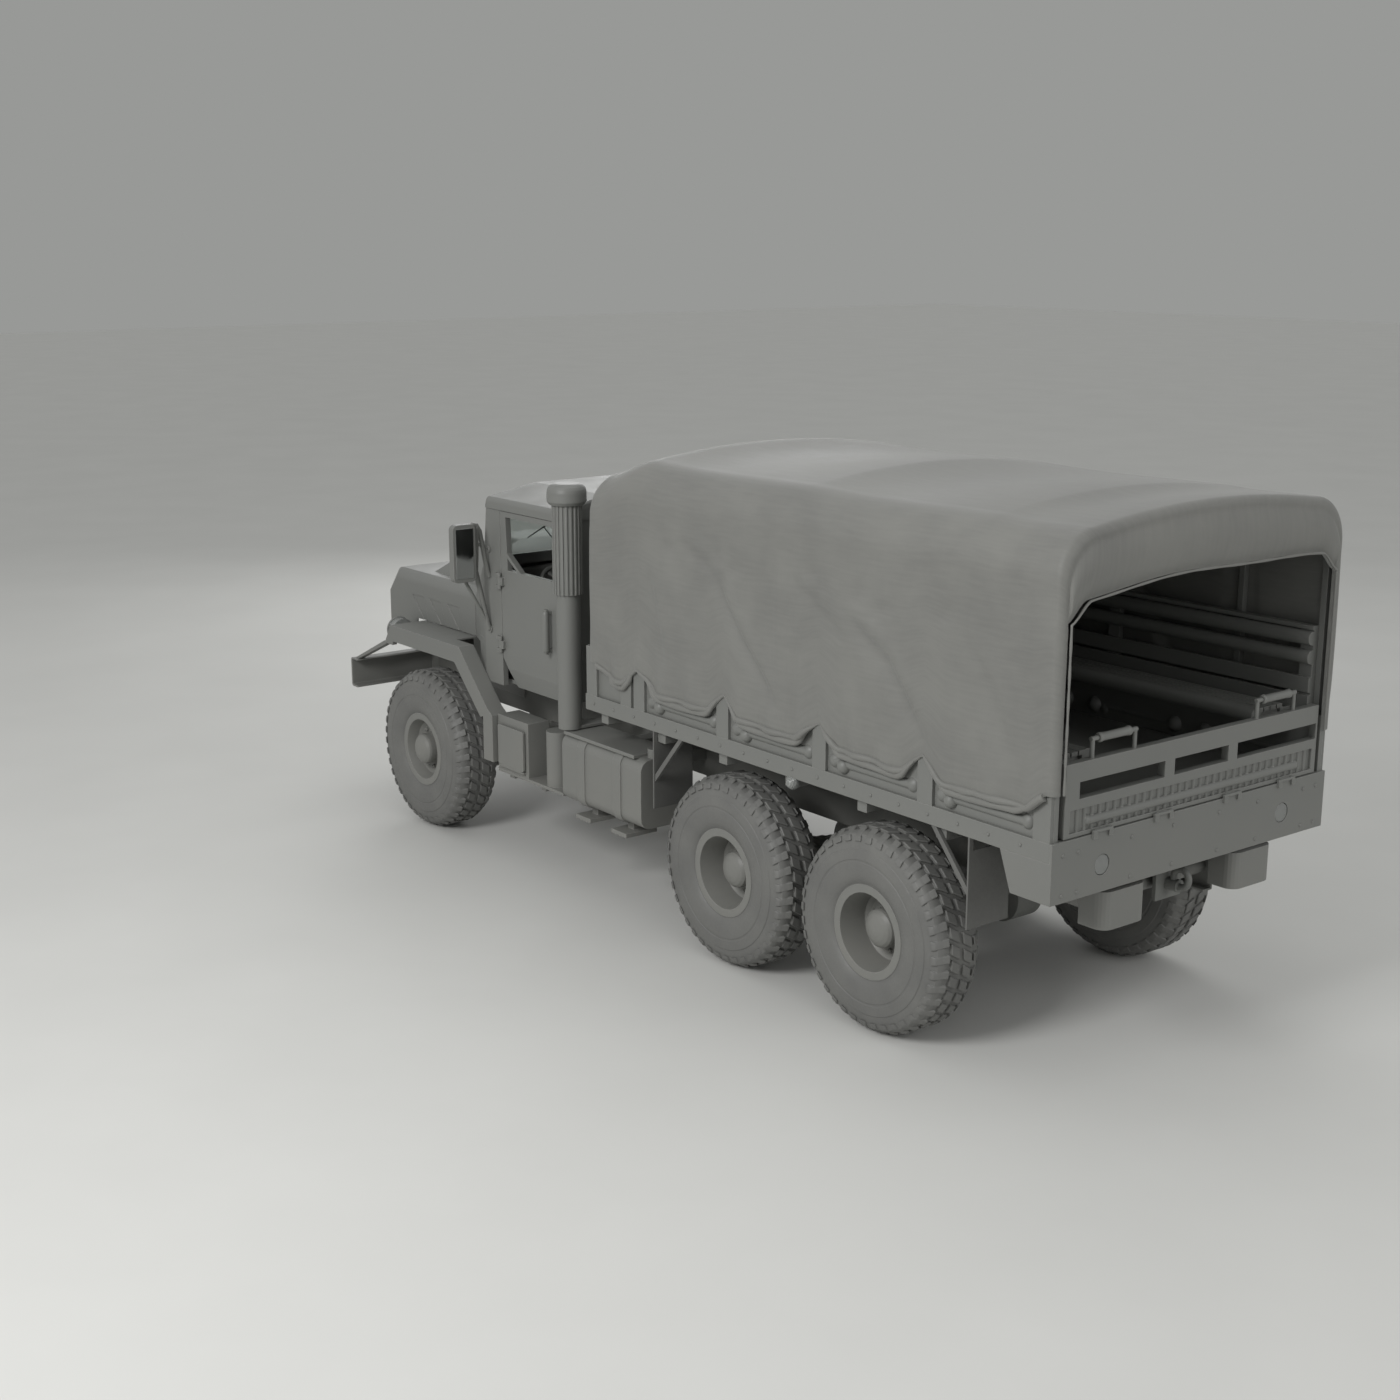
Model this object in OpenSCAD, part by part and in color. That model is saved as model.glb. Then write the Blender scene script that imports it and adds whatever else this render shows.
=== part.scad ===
// Bonneted six-wheel-drive cargo truck with a hooped canvas cover over the load bed.
// X points forward, Y to the left, Z up. The origin is on the ground at mid-length.

/* [Overall] */
// Length from the bumper face to the tailgate hinge line
overall_length = 7810; // [7600:10:8000]
// Bumper face to the front axle
front_overhang = 1175; // [1150:5:1200]
// Front axle to the middle of the rear bogie
wheelbase = 4550; // [4500:10:4600]
// Gap between the two tyres on one side of the bogie
wheel_gap = 112; // [100:2:140]
// Half the width over the load bed
half_width = 1187; // [1180:1:1200]

/* [Wheels] */
// Outer radius of a tyre, which is also the height of the axles
tyre_r = 630; // [615:1:640]
// Width of a tyre over the sidewalls
tyre_w = 375; // [360:5:385]
// Distance between the tyre centres of one axle
track = 2100; // [2080:5:2120]
// Radius of the bead seat of a rim
rim_seat_r = 254; // [245:1:260]
// Height of a rim flange above the bead seat
rim_flange = 36; // [28:1:40]
// Radius of a spindle
spindle_r = 50; // [45:1:55]
// Radius of a hub and its dome
hub_r = 120; // [110:1:130]
// Distance from the wheel centre to the inner face of a front disc
front_disc_y = 30; // [20:1:40]
// Distance from the wheel centre to the inner face of a rear disc
rear_disc_y = -60; // [-70:1:-50]

/* [Axles and steering] */
// Radius of an axle tube
axle_r = 65; // [60:1:70]
// Distance of a kingpin from the middle of the truck
kingpin_y = 820; // [812:1:824]
// Radius of a kingpin
kingpin_r = 22; // [18:1:26]
// Distance of the steering arm's ball behind the kingpin
arm_back = 220; // [200:5:240]
// Radius of a steering ball pin
ball_r = 14; // [12:1:16]
// Thickness of one spring leaf
leaf_t = 14; // [12:1:16]
// Width of a spring leaf
leaf_w = 76; // [70:1:80]
// Running clearance between a pin and its bore
run_gap = 0.1; // [0.05:0.05:0.2]

/* [Frame] */
// Distance of a rail's outer web from the middle
rail_y = 430; // [420:1:440]
// Width of a rail's flange
rail_w = 80; // [70:1:90]
// Top of the rails above the ground
rail_top = 1150; // [1140:1:1160]
// Depth of a rail
rail_h = 270; // [250:5:280]
// Thickness of a rail's steel
rail_t = 12; // [10:1:14]
// Half the length of the bumper
bumper_hw = 1200; // [1150:5:1230]
// Depth of the bumper channel
bumper_d = 115; // [100:1:130]
// Bottom of the bumper above the ground
bumper_z0 = 930; // [900:5:950]
// Height of the bumper channel
bumper_h = 245; // [230:5:260]

/* [Hood and fenders] */
// Half the width of the hood
hood_hw = 880; // [870:1:890]
// Thickness of the hood's shell
hood_t = 14; // [12:1:18]
// Bottom of the hood's nose above the ground
hood_nose_z = 1480; // [1470:1:1490]
// Top of the hood's side shoulder above the ground
hood_shoulder_z = 1930; // [1910:5:1950]
// Top of the hood's raised centre above the ground
hood_crown_z = 2285; // [2260:5:2310]
// Gap from the bumper face to the hood's nose
hood_setback = 135; // [125:5:145]
// Length of the hood
hood_len = 1360; // [1340:5:1370]
// Top of the fenders above the ground
fender_z = 1555; // [1545:1:1565]
// Outer edge of the fenders from the middle
fender_hw = 1190; // [1180:1:1200]
// Thickness of the fender sheet
fender_t = 14; // [10:1:18]

/* [Cab] */
// Half the width of the cab
cab_hw = 1050; // [1030:5:1070]
// Thickness of the doors and cab walls
wall_t = 45; // [40:1:50]
// Distance of the cab's side posts behind the front axle
cab_set_back = 800; // [790:1:810]
// Length of the cab from its side posts to its rear face
cab_len = 995; // [985:1:1005]
// Underside of the cab floor above the ground
cab_floor_z = 1310; // [1300:1:1320]
// Belt line of the windows above the ground
belt_z = 2200; // [2180:5:2220]
// Underside of the roof panel above the ground
roof_z = 2640; // [2620:5:2660]
// Height of the roof panel
roof_h = 160; // [140:5:180]
// Gap round a door
door_gap = 6; // [5:1:8]
// Front edge of a door
door_front_x = 1735; // [1725:1:1745]

/* [Side gear] */
// Outer face of the tank, toolbox and steps from the middle
gear_y = 1170; // [1150:5:1180]
// Depth of the toolbox
toolbox_d = 215; // [200:5:230]
// Depth of the fuel tank
tank_d = 400; // [380:5:420]
// Length of the fuel tank
tank_len = 960; // [920:10:970]
// Height of the fuel tank
tank_h = 490; // [470:5:500]
// Radius of the air intake's upper tube
intake_r = 107; // [100:1:112]
// Top of the air intake's cap above the ground
intake_top_z = 2937; // [2900:1:2960]

/* [Load bed] */
// Gap between the cab and the load bed
bed_gap = 495; // [485:1:505]
// Top of the load floor above the ground
bed_z = 1517; // [1510:1:1525]
// Thickness of the load floor
floor_t = 40; // [30:1:50]
// Height of the outer side rail
side_rail_h = 110; // [100:1:120]
// Height of the steel side boards above the floor
side_h = 343; // [330:1:360]
// Thickness of the steel side boards
side_t = 32; // [28:1:36]
// Width of a side post
post_w = 120; // [100:5:140]
// Bottom of the rear sill above the ground
sill_z0 = 1175; // [1165:1:1185]
// Thickness of the rear sill
sill_t = 15; // [12:1:18]
// Top of the side racks above the ground
rack_top_z = 2390; // [2370:5:2410]
// Depth of a bench seat
bench_d = 310; // [290:5:330]
// Height of the bench hinges above the ground
bench_z = 1880; // [1860:5:1900]
// Top of the tailgate above the ground
gate_top_z = 1932; // [1920:1:1950]
// Half the width of the tailgate
gate_hw = 1090; // [1070:5:1100]
// Thickness of the tailgate's frame
gate_t = 50; // [45:1:55]

/* [Canvas cover] */
// Thickness of the canvas
canvas_t = 10; // [8:1:14]
// Crown of the canvas above the ground
canvas_top_z = 3240; // [3200:5:3270]
// Fall of the canvas from the crown to the corner arcs
canvas_fall = 70; // [50:5:90]
// Radius of the canvas's upper corners
canvas_corner_r = 260; // [220:5:300]
// Height of the hem between the posts
hem_z = 1680; // [1660:5:1700]
// Height of the rear opening's upper edge
valance_z = 2850; // [2800:5:2880]
// Thickness of a bow
bow_t = 40; // [34:1:46]

/* [Hidden] */
$fn = 48;

// Seats: pieces that only touch lie this far apart
seat_gap = 0.3;
// Clear space round what moves
move_gap = 6;
paint = "#6f716b";
dark = "#3a3b39";
rubber = "#4a4a48";
cloth = "#77786f";

// Places along the truck
nose_x = overall_length / 2;
rear_x = -overall_length / 2;
front_axle_x = nose_x - front_overhang;
bogie_x = front_axle_x - wheelbase;
bogie_spread = 2 * tyre_r + wheel_gap;
mid_axle_x = bogie_x + bogie_spread / 2;
rear_axle_x = bogie_x - bogie_spread / 2;
wheel_y = track / 2;
axle_z = tyre_r;
cab_front_x = front_axle_x - cab_set_back;
cab_rear_x = cab_front_x - cab_len;
bed_front_x = cab_rear_x - bed_gap;
rail_front_x = nose_x - bumper_d;
rail_bottom = rail_top - rail_h;
rail_in = rail_y - rail_w;

// Rear hinge line of the tailgate and what lies ahead of it
gate_pin_r = 10;
gate_axis_x = rear_x + gate_pin_r;
gate_axis_z = bed_z + 13;
sill_x = gate_axis_x + 5;
bed_rear_x = sill_x + sill_t;
bed_len = bed_front_x - bed_rear_x;
function bed_at(share) = bed_front_x - share * bed_len;
rail_rear_x = bed_rear_x + 175;

// Plain building blocks
module block(x0, x1, y0, y1, z0, z1) {
    translate([x0, y0, z0]) cube([x1 - x0, y1 - y0, z1 - z0]);
}
module both_sides() {
    children();
    mirror([0, 1, 0]) children();
}
module rod_x(r, x0, x1, y, z) {
    translate([x0, y, z]) rotate([0, 90, 0]) cylinder(r = r, h = x1 - x0);
}
module rod_y(r, y0, y1, x, z) {
    translate([x, y0, z]) rotate([-90, 0, 0]) cylinder(r = r, h = y1 - y0);
}
module rod_z(r, z0, z1, x, y) {
    translate([x, y, z0]) cylinder(r = r, h = z1 - z0);
}
// A side view outline (x, z) given a width along Y
module along_y(y0, y1) {
    translate([0, y1, 0]) rotate([90, 0, 0]) linear_extrude(y1 - y0) children();
}
// An end view outline (y, z) given a length along X
module along_x(x0, x1) {
    translate([x0, 0, 0]) rotate([90, 0, 90]) linear_extrude(x1 - x0) children();
}
function arc(c, r, a0, a1, n = 6) =
    [for (i = [0:n]) let (a = a0 + (a1 - a0) * i / n) [c[0] + r * cos(a), c[1] + r * sin(a)]];
function round_box(x0, z0, x1, z1, r) = concat(
    arc([x1 - r, z1 - r], r, 0, 90), arc([x0 + r, z1 - r], r, 90, 180),
    arc([x0 + r, z0 + r], r, 180, 270), arc([x1 - r, z0 + r], r, 270, 360));
function flip(points) = [for (i = [len(points) - 1:-1:0]) points[i]];

// Chassis frame: two channel rails, cross tubes and the bogie trunnion
cross_r = 50;
cross_z = rail_bottom + rail_h / 2;
cross_x = [rail_front_x - 120, 1100, 120, -900, rail_rear_x + 90];
trunnion_r = 60;
trunnion_z = axle_z + 60;
spring_y = rail_y + 50 + leaf_w / 2;
front_hanger_span = 1300;
module channel_section() {
    polygon([[rail_in, rail_bottom], [rail_y, rail_bottom], [rail_y, rail_top], [rail_in, rail_top],
             [rail_in, rail_top - rail_t], [rail_y - rail_t, rail_top - rail_t],
             [rail_y - rail_t, rail_bottom + rail_t], [rail_in, rail_bottom + rail_t]]);
}
module chassis_frame() {
    color(dark) {
        both_sides() along_x(rail_rear_x, rail_front_x) channel_section();
        for (x = cross_x) rod_y(cross_r, -rail_y + rail_t / 2, rail_y - rail_t / 2, x, cross_z);
        rod_y(trunnion_r, -spring_y - leaf_w / 2, spring_y + leaf_w / 2, bogie_x, trunnion_z);
        both_sides() {
            block(bogie_x - 130, bogie_x + 130, rail_in, rail_y, trunnion_z, rail_bottom + 1);
            for (side = [-1, 1])
                block(front_axle_x + side * front_hanger_span / 2 - 30,
                      front_axle_x + side * front_hanger_span / 2 + 30,
                      rail_in, rail_y, front_spring_end_z + seat_gap, rail_bottom + 1);
        }
    }
}

// Front bumper: a channel open to the rear, with stays up to the fenders
bumper_plate = 14;
tow_eye_r = 20;
tow_eye_y = 560;
tow_eye_t = 30;
tow_eye_z = bumper_z0 + bumper_h + 60;
module bumper_section() {
    difference() {
        polygon(round_box(rail_front_x, bumper_z0, nose_x, bumper_z0 + bumper_h, 22));
        polygon(round_box(rail_front_x - 60, bumper_z0 + bumper_plate,
                          nose_x - bumper_plate, bumper_z0 + bumper_h - bumper_plate, 12));
        translate([rail_front_x - 60, bumper_z0]) square([60, bumper_h]);
    }
}
module front_bumper() {
    color(paint) difference() {
        union() {
            along_y(-bumper_hw, bumper_hw) bumper_section();
            both_sides() {
                block(rail_front_x, nose_x - 2, rail_in - 5, rail_y + 5, bumper_z0 + 1, rail_top - 5);
                along_y(tow_eye_y, tow_eye_y + tow_eye_t) polygon([
                    [nose_x - 90, bumper_z0 + bumper_h - 2], [nose_x - 20, bumper_z0 + bumper_h - 2],
                    [nose_x - 20, tow_eye_z + 30], [nose_x - 90, tow_eye_z + 30]]);
                along_y(fender_hw - 70, fender_hw - 10) polygon([
                    [nose_x - 90, bumper_z0 + bumper_h - 2], [nose_x - 40, bumper_z0 + bumper_h - 2],
                    [fender_tip_x + 26, fender_tip_z + 10], [fender_tip_x + seat_gap, fender_tip_z + 10],
                    [fender_tip_x + seat_gap, fender_tip_z - 14]]);
            }
        }
        both_sides() rod_y(tow_eye_r, tow_eye_y - 1, tow_eye_y + tow_eye_t + 1, nose_x - 55, tow_eye_z);
    }
}

// Engine, radiator and driveline
engine_front_x = nose_x - 555;
engine_rear_x = cab_front_x + 290;
engine_hw = rail_in - 30;
engine_top_z = 1720;
foot_h = 34;
module engine_block() {
    color(dark) {
        block(engine_rear_x, engine_front_x, -engine_hw, engine_hw, rail_bottom + 20, engine_top_z - 180);
        along_x(engine_rear_x + 40, engine_front_x - 60)
            polygon(round_box(-engine_hw + 70, engine_top_z - 200, engine_hw - 70, engine_top_z, 60));
        rod_x(170, engine_front_x - 1, engine_front_x + 60, 0, engine_top_z - 380);
        both_sides() for (x = [engine_rear_x + 120, engine_front_x - 240])
            block(x, x + 120, engine_hw - 1, rail_y - 10, rail_top, rail_top + foot_h);
    }
}
radiator_x = engine_front_x + 130;
radiator_t = 90;
radiator_hw = 430;
radiator_top_z = 1790;
hinge_x = nose_x - hood_setback - 40;
hinge_z = hood_nose_z - 40;
hinge_pin_r = 15;
hinge_y = radiator_hw + 10;
hinge_lug_t = 30;
module radiator() {
    color(dark) {
        block(radiator_x, radiator_x + radiator_t, -radiator_hw, radiator_hw, rail_top, radiator_top_z);
        both_sides() {
            block(radiator_x, hinge_x + 30, hinge_y + hinge_lug_t + move_gap, hinge_y + hinge_lug_t + 36,
                  hinge_z - 30, hinge_z + 30);
            block(radiator_x, radiator_x + radiator_t, radiator_hw - 1, hinge_y + hinge_lug_t + 36,
                  hinge_z - 30, hinge_z + 30);
            rod_y(hinge_pin_r, hinge_y - 6, hinge_y + hinge_lug_t + 30, hinge_x, hinge_z);
        }
    }
}
pinion_z = axle_z + 170;
carrier_r = 190;
shaft_r = 42;
gearbox_len = 620;
transfer_x = [-60, 330];
module driveline() {
    gearbox_rear_x = engine_rear_x - gearbox_len;
    color(dark) {
        rod_x(230, gearbox_rear_x + 150, engine_rear_x, 0, rail_bottom + 190);
        rod_x(150, gearbox_rear_x, gearbox_rear_x + 200, 0, rail_bottom + 190);
        rod_x(shaft_r, transfer_x[1] - 5, gearbox_rear_x + 5, 0, rail_bottom + 20);
        block(gearbox_rear_x + 10, gearbox_rear_x + 90, -120, 120, rail_bottom - 40, rail_bottom + 100);
        block(transfer_x[0], transfer_x[1], -210, 210, pinion_z - 150, cross_z - cross_r - seat_gap);
        rod_x(shaft_r, transfer_x[1] - 5, front_axle_x - carrier_r - seat_gap, 0, pinion_z);
        rod_x(shaft_r, mid_axle_x + carrier_r + seat_gap, transfer_x[0] + 5, 0, pinion_z);
    }
    color(dark)
        rod_x(shaft_r, rear_axle_x + carrier_r + seat_gap, mid_axle_x - carrier_r - seat_gap, 0, pinion_z);
}

// Axles: tube, carrier with the pinion on top, and spindles or kingpin bosses
boss_r = 50;
boss_h = 170;
backing_y = wheel_y - 156 - move_gap;
module axle_housing(x, half) {
    rod_y(axle_r, -half, half, x, axle_z);
    rod_y(carrier_r - 20, -110, 110, x, axle_z);
    rod_x(95, x - carrier_r, x + carrier_r, 0, pinion_z);
    block(x - 120, x + 120, -100, 100, axle_z, pinion_z);
}
module front_axle() {
    color(dark) difference() {
        union() {
            axle_housing(front_axle_x, kingpin_y - 10);
            both_sides() rod_z(boss_r, axle_z - boss_h / 2, axle_z + boss_h / 2, front_axle_x, kingpin_y);
        }
        both_sides() rod_z(kingpin_r + run_gap, axle_z - boss_h, axle_z + boss_h, front_axle_x, kingpin_y);
    }
}
module rear_axles() {
    color(dark) for (x = [mid_axle_x, rear_axle_x]) {
        axle_housing(x, backing_y);
        both_sides() {
            rod_y(185, backing_y - 12, backing_y, x, axle_z);
            rod_y(spindle_r, backing_y - 1, wheel_y + rear_disc_y + spindle_reach, x, axle_z);
            block(x - 70, x + 70, spring_y - leaf_w / 2, spring_y + leaf_w / 2, axle_z, axle_z + axle_r + 10);
        }
    }
}

// Leaf springs: packs of leaves on arcs, the front ones sagging and the rear ones arched
front_leaves = 5;
rear_leaves = 7;
front_sag = 80;
rear_rise = 70;
front_spring_z = axle_z + axle_r + 12;
front_spring_end_z = front_spring_z + front_leaves * leaf_t + front_sag;
rear_spring_end_z = axle_z + axle_r + 10 + seat_gap;
front_chord = front_hanger_span + 40;
rear_chord = bogie_spread + 80;
function sag_r(chord, sag) = (chord * chord / 4 + sag * sag) / (2 * sag);
module leaf(c, r, half_angle, a_mid) {
    polygon(concat(arc(c, r, a_mid - half_angle, a_mid + half_angle, 10),
                   arc(c, r + leaf_t + 0.5, a_mid + half_angle, a_mid - half_angle, 10)));
}
module front_spring() {
    r = sag_r(front_chord, front_sag);
    c = [front_axle_x, front_spring_end_z - front_sag + r];
    half = asin(front_chord / 2 / (r + leaf_t));
    along_y(rail_y - leaf_w - 2, rail_y - 2) {
        for (i = [0:front_leaves - 1]) leaf(c, r + i * leaf_t, half * (1 - 0.14 * i), 270);
        translate([front_axle_x - 60, axle_z + axle_r + seat_gap])
            square([120, front_spring_end_z - front_sag - axle_z - axle_r - 10]);
    }
}
module rear_spring() {
    r = sag_r(rear_chord, rear_rise);
    c = [bogie_x, rear_spring_end_z + rear_rise - r];
    half = asin(rear_chord / 2 / (r + leaf_t));
    along_y(spring_y - leaf_w / 2, spring_y + leaf_w / 2) {
        for (i = [0:rear_leaves - 1]) leaf(c, r + i * leaf_t, half * (1 - 0.12 * i), 90);
        translate([bogie_x - 90, trunnion_z + trunnion_r + seat_gap])
            square([180, rear_spring_end_z + rear_rise + rear_leaves * leaf_t + 24 - trunnion_z - trunnion_r]);
    }
}
module leaf_springs() {
    color(dark) both_sides() {
        front_spring();
        rear_spring();
    }
}

// Steering: knuckles on the kingpins, joined by a tie rod behind the axle
arm_z = axle_z - boss_h / 2 - 7;
arm_t = 40;
yoke_r = 55;
yoke_half = yoke_r - 4;
web_y = kingpin_y + boss_r + 8;
web_t = 27;
spindle_reach = 125;
rod_z_mid = arm_z - arm_t - 32;
arm_x = front_axle_x - arm_back;
module knuckle() {
    for (z = [arm_z - arm_t, axle_z + boss_h / 2 + 7]) {
        rod_z(yoke_r, z, z + arm_t, front_axle_x, kingpin_y);
        block(front_axle_x - yoke_half, front_axle_x + yoke_half, kingpin_y, web_y + web_t, z, z + arm_t);
    }
    block(front_axle_x - yoke_half, front_axle_x + yoke_half, web_y, web_y + web_t,
          arm_z - arm_t, axle_z + boss_h / 2 + 7 + arm_t);
    rod_z(kingpin_r, arm_z - 5, axle_z + boss_h / 2 + 12, front_axle_x, kingpin_y);
    rod_y(90, web_y + 1, web_y + web_t + 18, front_axle_x, axle_z);
    rod_y(spindle_r, web_y + 1, wheel_y + front_disc_y + spindle_reach, front_axle_x, axle_z);
    block(arm_x, front_axle_x, kingpin_y - 24, kingpin_y + 24, arm_z - arm_t, arm_z);
    rod_z(34, arm_z - arm_t - 4, arm_z + 4, arm_x, kingpin_y);
    rod_z(ball_r, rod_z_mid - 28, arm_z - 5, arm_x, kingpin_y);
}
module knuckle_left() { color(dark) knuckle(); }
module knuckle_right() { color(dark) mirror([0, 1, 0]) knuckle(); }
module tie_rod() {
    color(dark) difference() {
        union() {
            rod_y(18, -kingpin_y, kingpin_y, arm_x, rod_z_mid);
            both_sides() rod_z(32, rod_z_mid - 22, rod_z_mid + 22, arm_x, kingpin_y);
        }
        both_sides() rod_z(ball_r + run_gap, rod_z_mid - 30, rod_z_mid + 30, arm_x, kingpin_y);
    }
}

// Wheels: a dished rim with a domed hub, and a tyre; the outline is (radius, distance outwards)
rim_t = 14;
rim_half = 162;
drum_r = 205;
function rim_outline(disc_y, drum_y) = let (
    bore = spindle_r + run_gap, flange = rim_seat_r + rim_flange, well = rim_seat_r - rim_t,
    dome = 55, nose = disc_y + spindle_reach + 40) concat(
    [[bore, disc_y], [drum_r - 15, disc_y], [drum_r - 15, drum_y], [drum_r, drum_y], [drum_r, disc_y],
     [well, disc_y], [well, -rim_half], [flange, -rim_half], [flange, -rim_half + 10],
     [rim_seat_r, -rim_half + 10], [rim_seat_r, rim_half - 10], [flange, rim_half - 10], [flange, rim_half],
     [well, rim_half], [well - 30, disc_y + 45], [well - 60, disc_y + 22], [hub_r + 12, disc_y + 22],
     [hub_r, disc_y + 60], [hub_r, nose - dome]],
    [for (a = [18:18:90]) [hub_r * cos(a), nose - dome + dome * sin(a)]],
    [[0, disc_y + spindle_reach + 2], [bore, disc_y + spindle_reach + 2]]);
module rim(x, side, disc_y, drum_y) {
    color(paint) translate([x, side * wheel_y, axle_z]) rotate([-90 * side, 0, 0])
        rotate_extrude($fn = 72) polygon(rim_outline(disc_y, drum_y));
}
function tyre_outline() = let (
    seat = rim_seat_r + seat_gap, bead = rim_half - 10 - seat_gap, half = tyre_w / 2,
    lip = rim_seat_r + rim_flange + seat_gap, wall = tyre_r - 210) let (one = [
    [seat, bead], [lip, bead], [lip + 36, half - 12], [wall, half], [wall + 60, half - 2],
    [tyre_r - 70, half - 14], [tyre_r - 22, half - 26], [tyre_r, half - 58]])
    concat(one, flip([for (p = one) [p[0], -p[1]]]));
module tyre(x, side) {
    color(rubber) translate([x, side * wheel_y, axle_z]) rotate([-90 * side, 0, 0])
        rotate_extrude($fn = 72) polygon(tyre_outline());
}
front_drum_y = web_y + web_t - wheel_y - 10;
rear_drum_y = -150;
module rim_front_left() { rim(front_axle_x, 1, front_disc_y, front_drum_y); }
module rim_front_right() { rim(front_axle_x, -1, front_disc_y, front_drum_y); }
module rim_mid_left() { rim(mid_axle_x, 1, rear_disc_y, rear_drum_y); }
module rim_mid_right() { rim(mid_axle_x, -1, rear_disc_y, rear_drum_y); }
module rim_rear_left() { rim(rear_axle_x, 1, rear_disc_y, rear_drum_y); }
module rim_rear_right() { rim(rear_axle_x, -1, rear_disc_y, rear_drum_y); }
module tyre_front_left() { tyre(front_axle_x, 1); }
module tyre_front_right() { tyre(front_axle_x, -1); }
module tyre_mid_left() { tyre(mid_axle_x, 1); }
module tyre_mid_right() { tyre(mid_axle_x, -1); }
module tyre_rear_left() { tyre(rear_axle_x, 1); }
module tyre_rear_right() { tyre(rear_axle_x, -1); }

// Fenders: a sheet over the wheel that kinks down behind it, with a deep rolled outer lip
fender_tip_x = front_axle_x + 595;
fender_tip_z = fender_z - 160;
fender_front_x = front_axle_x + 488;
fender_kink_x = front_axle_x - 574;
skirt_rear_x = front_axle_x - 1040;
skirt_z0 = 745;
knee_z = 1150;
lip_t = 40;
function fender_top() = [[fender_tip_x, fender_tip_z], [fender_front_x, fender_z], [fender_kink_x, fender_z],
                         [skirt_rear_x + 73, knee_z], [skirt_rear_x, knee_z - 45], [skirt_rear_x, skirt_z0]];
function fender_under(d) = [[skirt_rear_x + d, skirt_z0], [skirt_rear_x + d, knee_z - 45 - d * 0.22],
                            [skirt_rear_x + 73 + d * 0.75, knee_z - d * 0.65],
                            [fender_kink_x + d * 0.55, fender_z - d], [fender_front_x - d * 0.2, fender_z - d],
                            [fender_tip_x - d, fender_tip_z]];
inner_panel_y = rail_y;
inner_panel_t = 12;
module fender() {
    along_y(inner_panel_y, fender_hw) intersection() {
        polygon(concat(fender_top(), fender_under(fender_t)));
        translate([hood_rear_x + move_gap, fender_z - 300]) square([2000, 400]);
    }
    along_y(cab_hw + move_gap, fender_hw) polygon(concat(fender_top(), fender_under(fender_t)));
    along_y(fender_hw - lip_t, fender_hw) polygon(concat(fender_top(), fender_under(130)));
    block(hood_rear_x + move_gap, fender_front_x - 40, inner_panel_y, inner_panel_y + inner_panel_t,
          rail_top - 150, fender_z - 5);
}
module fenders() { color(paint) both_sides() fender(); }

// Headlamps on short stems ahead of the fenders
lamp_r = 95;
lamp_y = 1010;
lamp_z = fender_z - 85;
module headlamps() {
    color(paint) both_sides() difference() {
        union() {
            rod_x(lamp_r, fender_tip_x + 10, fender_tip_x + 90, lamp_y, lamp_z);
            rod_x(lamp_r + 8, fender_tip_x + 80, fender_tip_x + 96, lamp_y, lamp_z);
            rod_x(34, fender_front_x - 100, fender_tip_x + 20, lamp_y, lamp_z);
        }
        rod_x(lamp_r - 12, fender_tip_x + 88, fender_tip_x + 100, lamp_y, lamp_z);
        along_y(inner_panel_y, fender_hw) polygon([
            [fender_tip_x + 0.5, fender_tip_z - 200], [fender_tip_x + 0.5, fender_tip_z],
            [fender_front_x + 0.5, fender_z + 0.5], [fender_kink_x, fender_z + 0.5],
            [fender_kink_x, fender_tip_z - 200]]);
    }
}

// Hood: a shell with a raised centre that tilts forward on two lugs under its nose
hood_nose_x = nose_x - hood_setback;
hood_rear_x = hood_nose_x - hood_len;
hood_skirt_z = fender_z + move_gap;
shoulder_r = 90;
brow_r = 110;
module hood_form(inset) {
    hw = hood_hw - inset;
    top = hood_shoulder_z - inset;
    nose = hood_nose_x - inset;
    crown = hood_crown_z - inset;
    hull() {
        block(hood_rear_x, nose, -hw, hw, hood_nose_z, hood_shoulder_z - 200);
        both_sides() rod_x(shoulder_r, hood_rear_x, nose - 120, hw - shoulder_r, top - shoulder_r, $fn = 32);
        rod_y(brow_r, -hw + 70, hw - 70, nose - brow_r, top - brow_r, $fn = 32);
    }
    hull() {
        both_sides() {
            rod_x(60, hood_rear_x, hood_rear_x + 350, 450 - inset, crown - 60, $fn = 32);
            rod_x(30, hood_rear_x, hood_rear_x + 1020, 420 - inset, hood_shoulder_z + 65 - inset - 30, $fn = 32);
        }
        block(hood_rear_x, hood_rear_x + 900, -720 + inset, 720 - inset,
              hood_shoulder_z - 100, hood_shoulder_z - 6 - inset);
    }
}
louvre_z = 1655;
louvre_rise = 190;
module louvre(x) {
    along_y(hood_hw - 6, hood_hw + 20) polygon([
        [x, louvre_z - louvre_rise / 2], [x + 70, louvre_z - louvre_rise / 2],
        [x + 250, louvre_z + louvre_rise / 2], [x + 60, louvre_z + louvre_rise / 2]]);
}
grille_hw = 620;
grille_z = [hood_nose_z + 50, hood_shoulder_z - 130];
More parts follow.
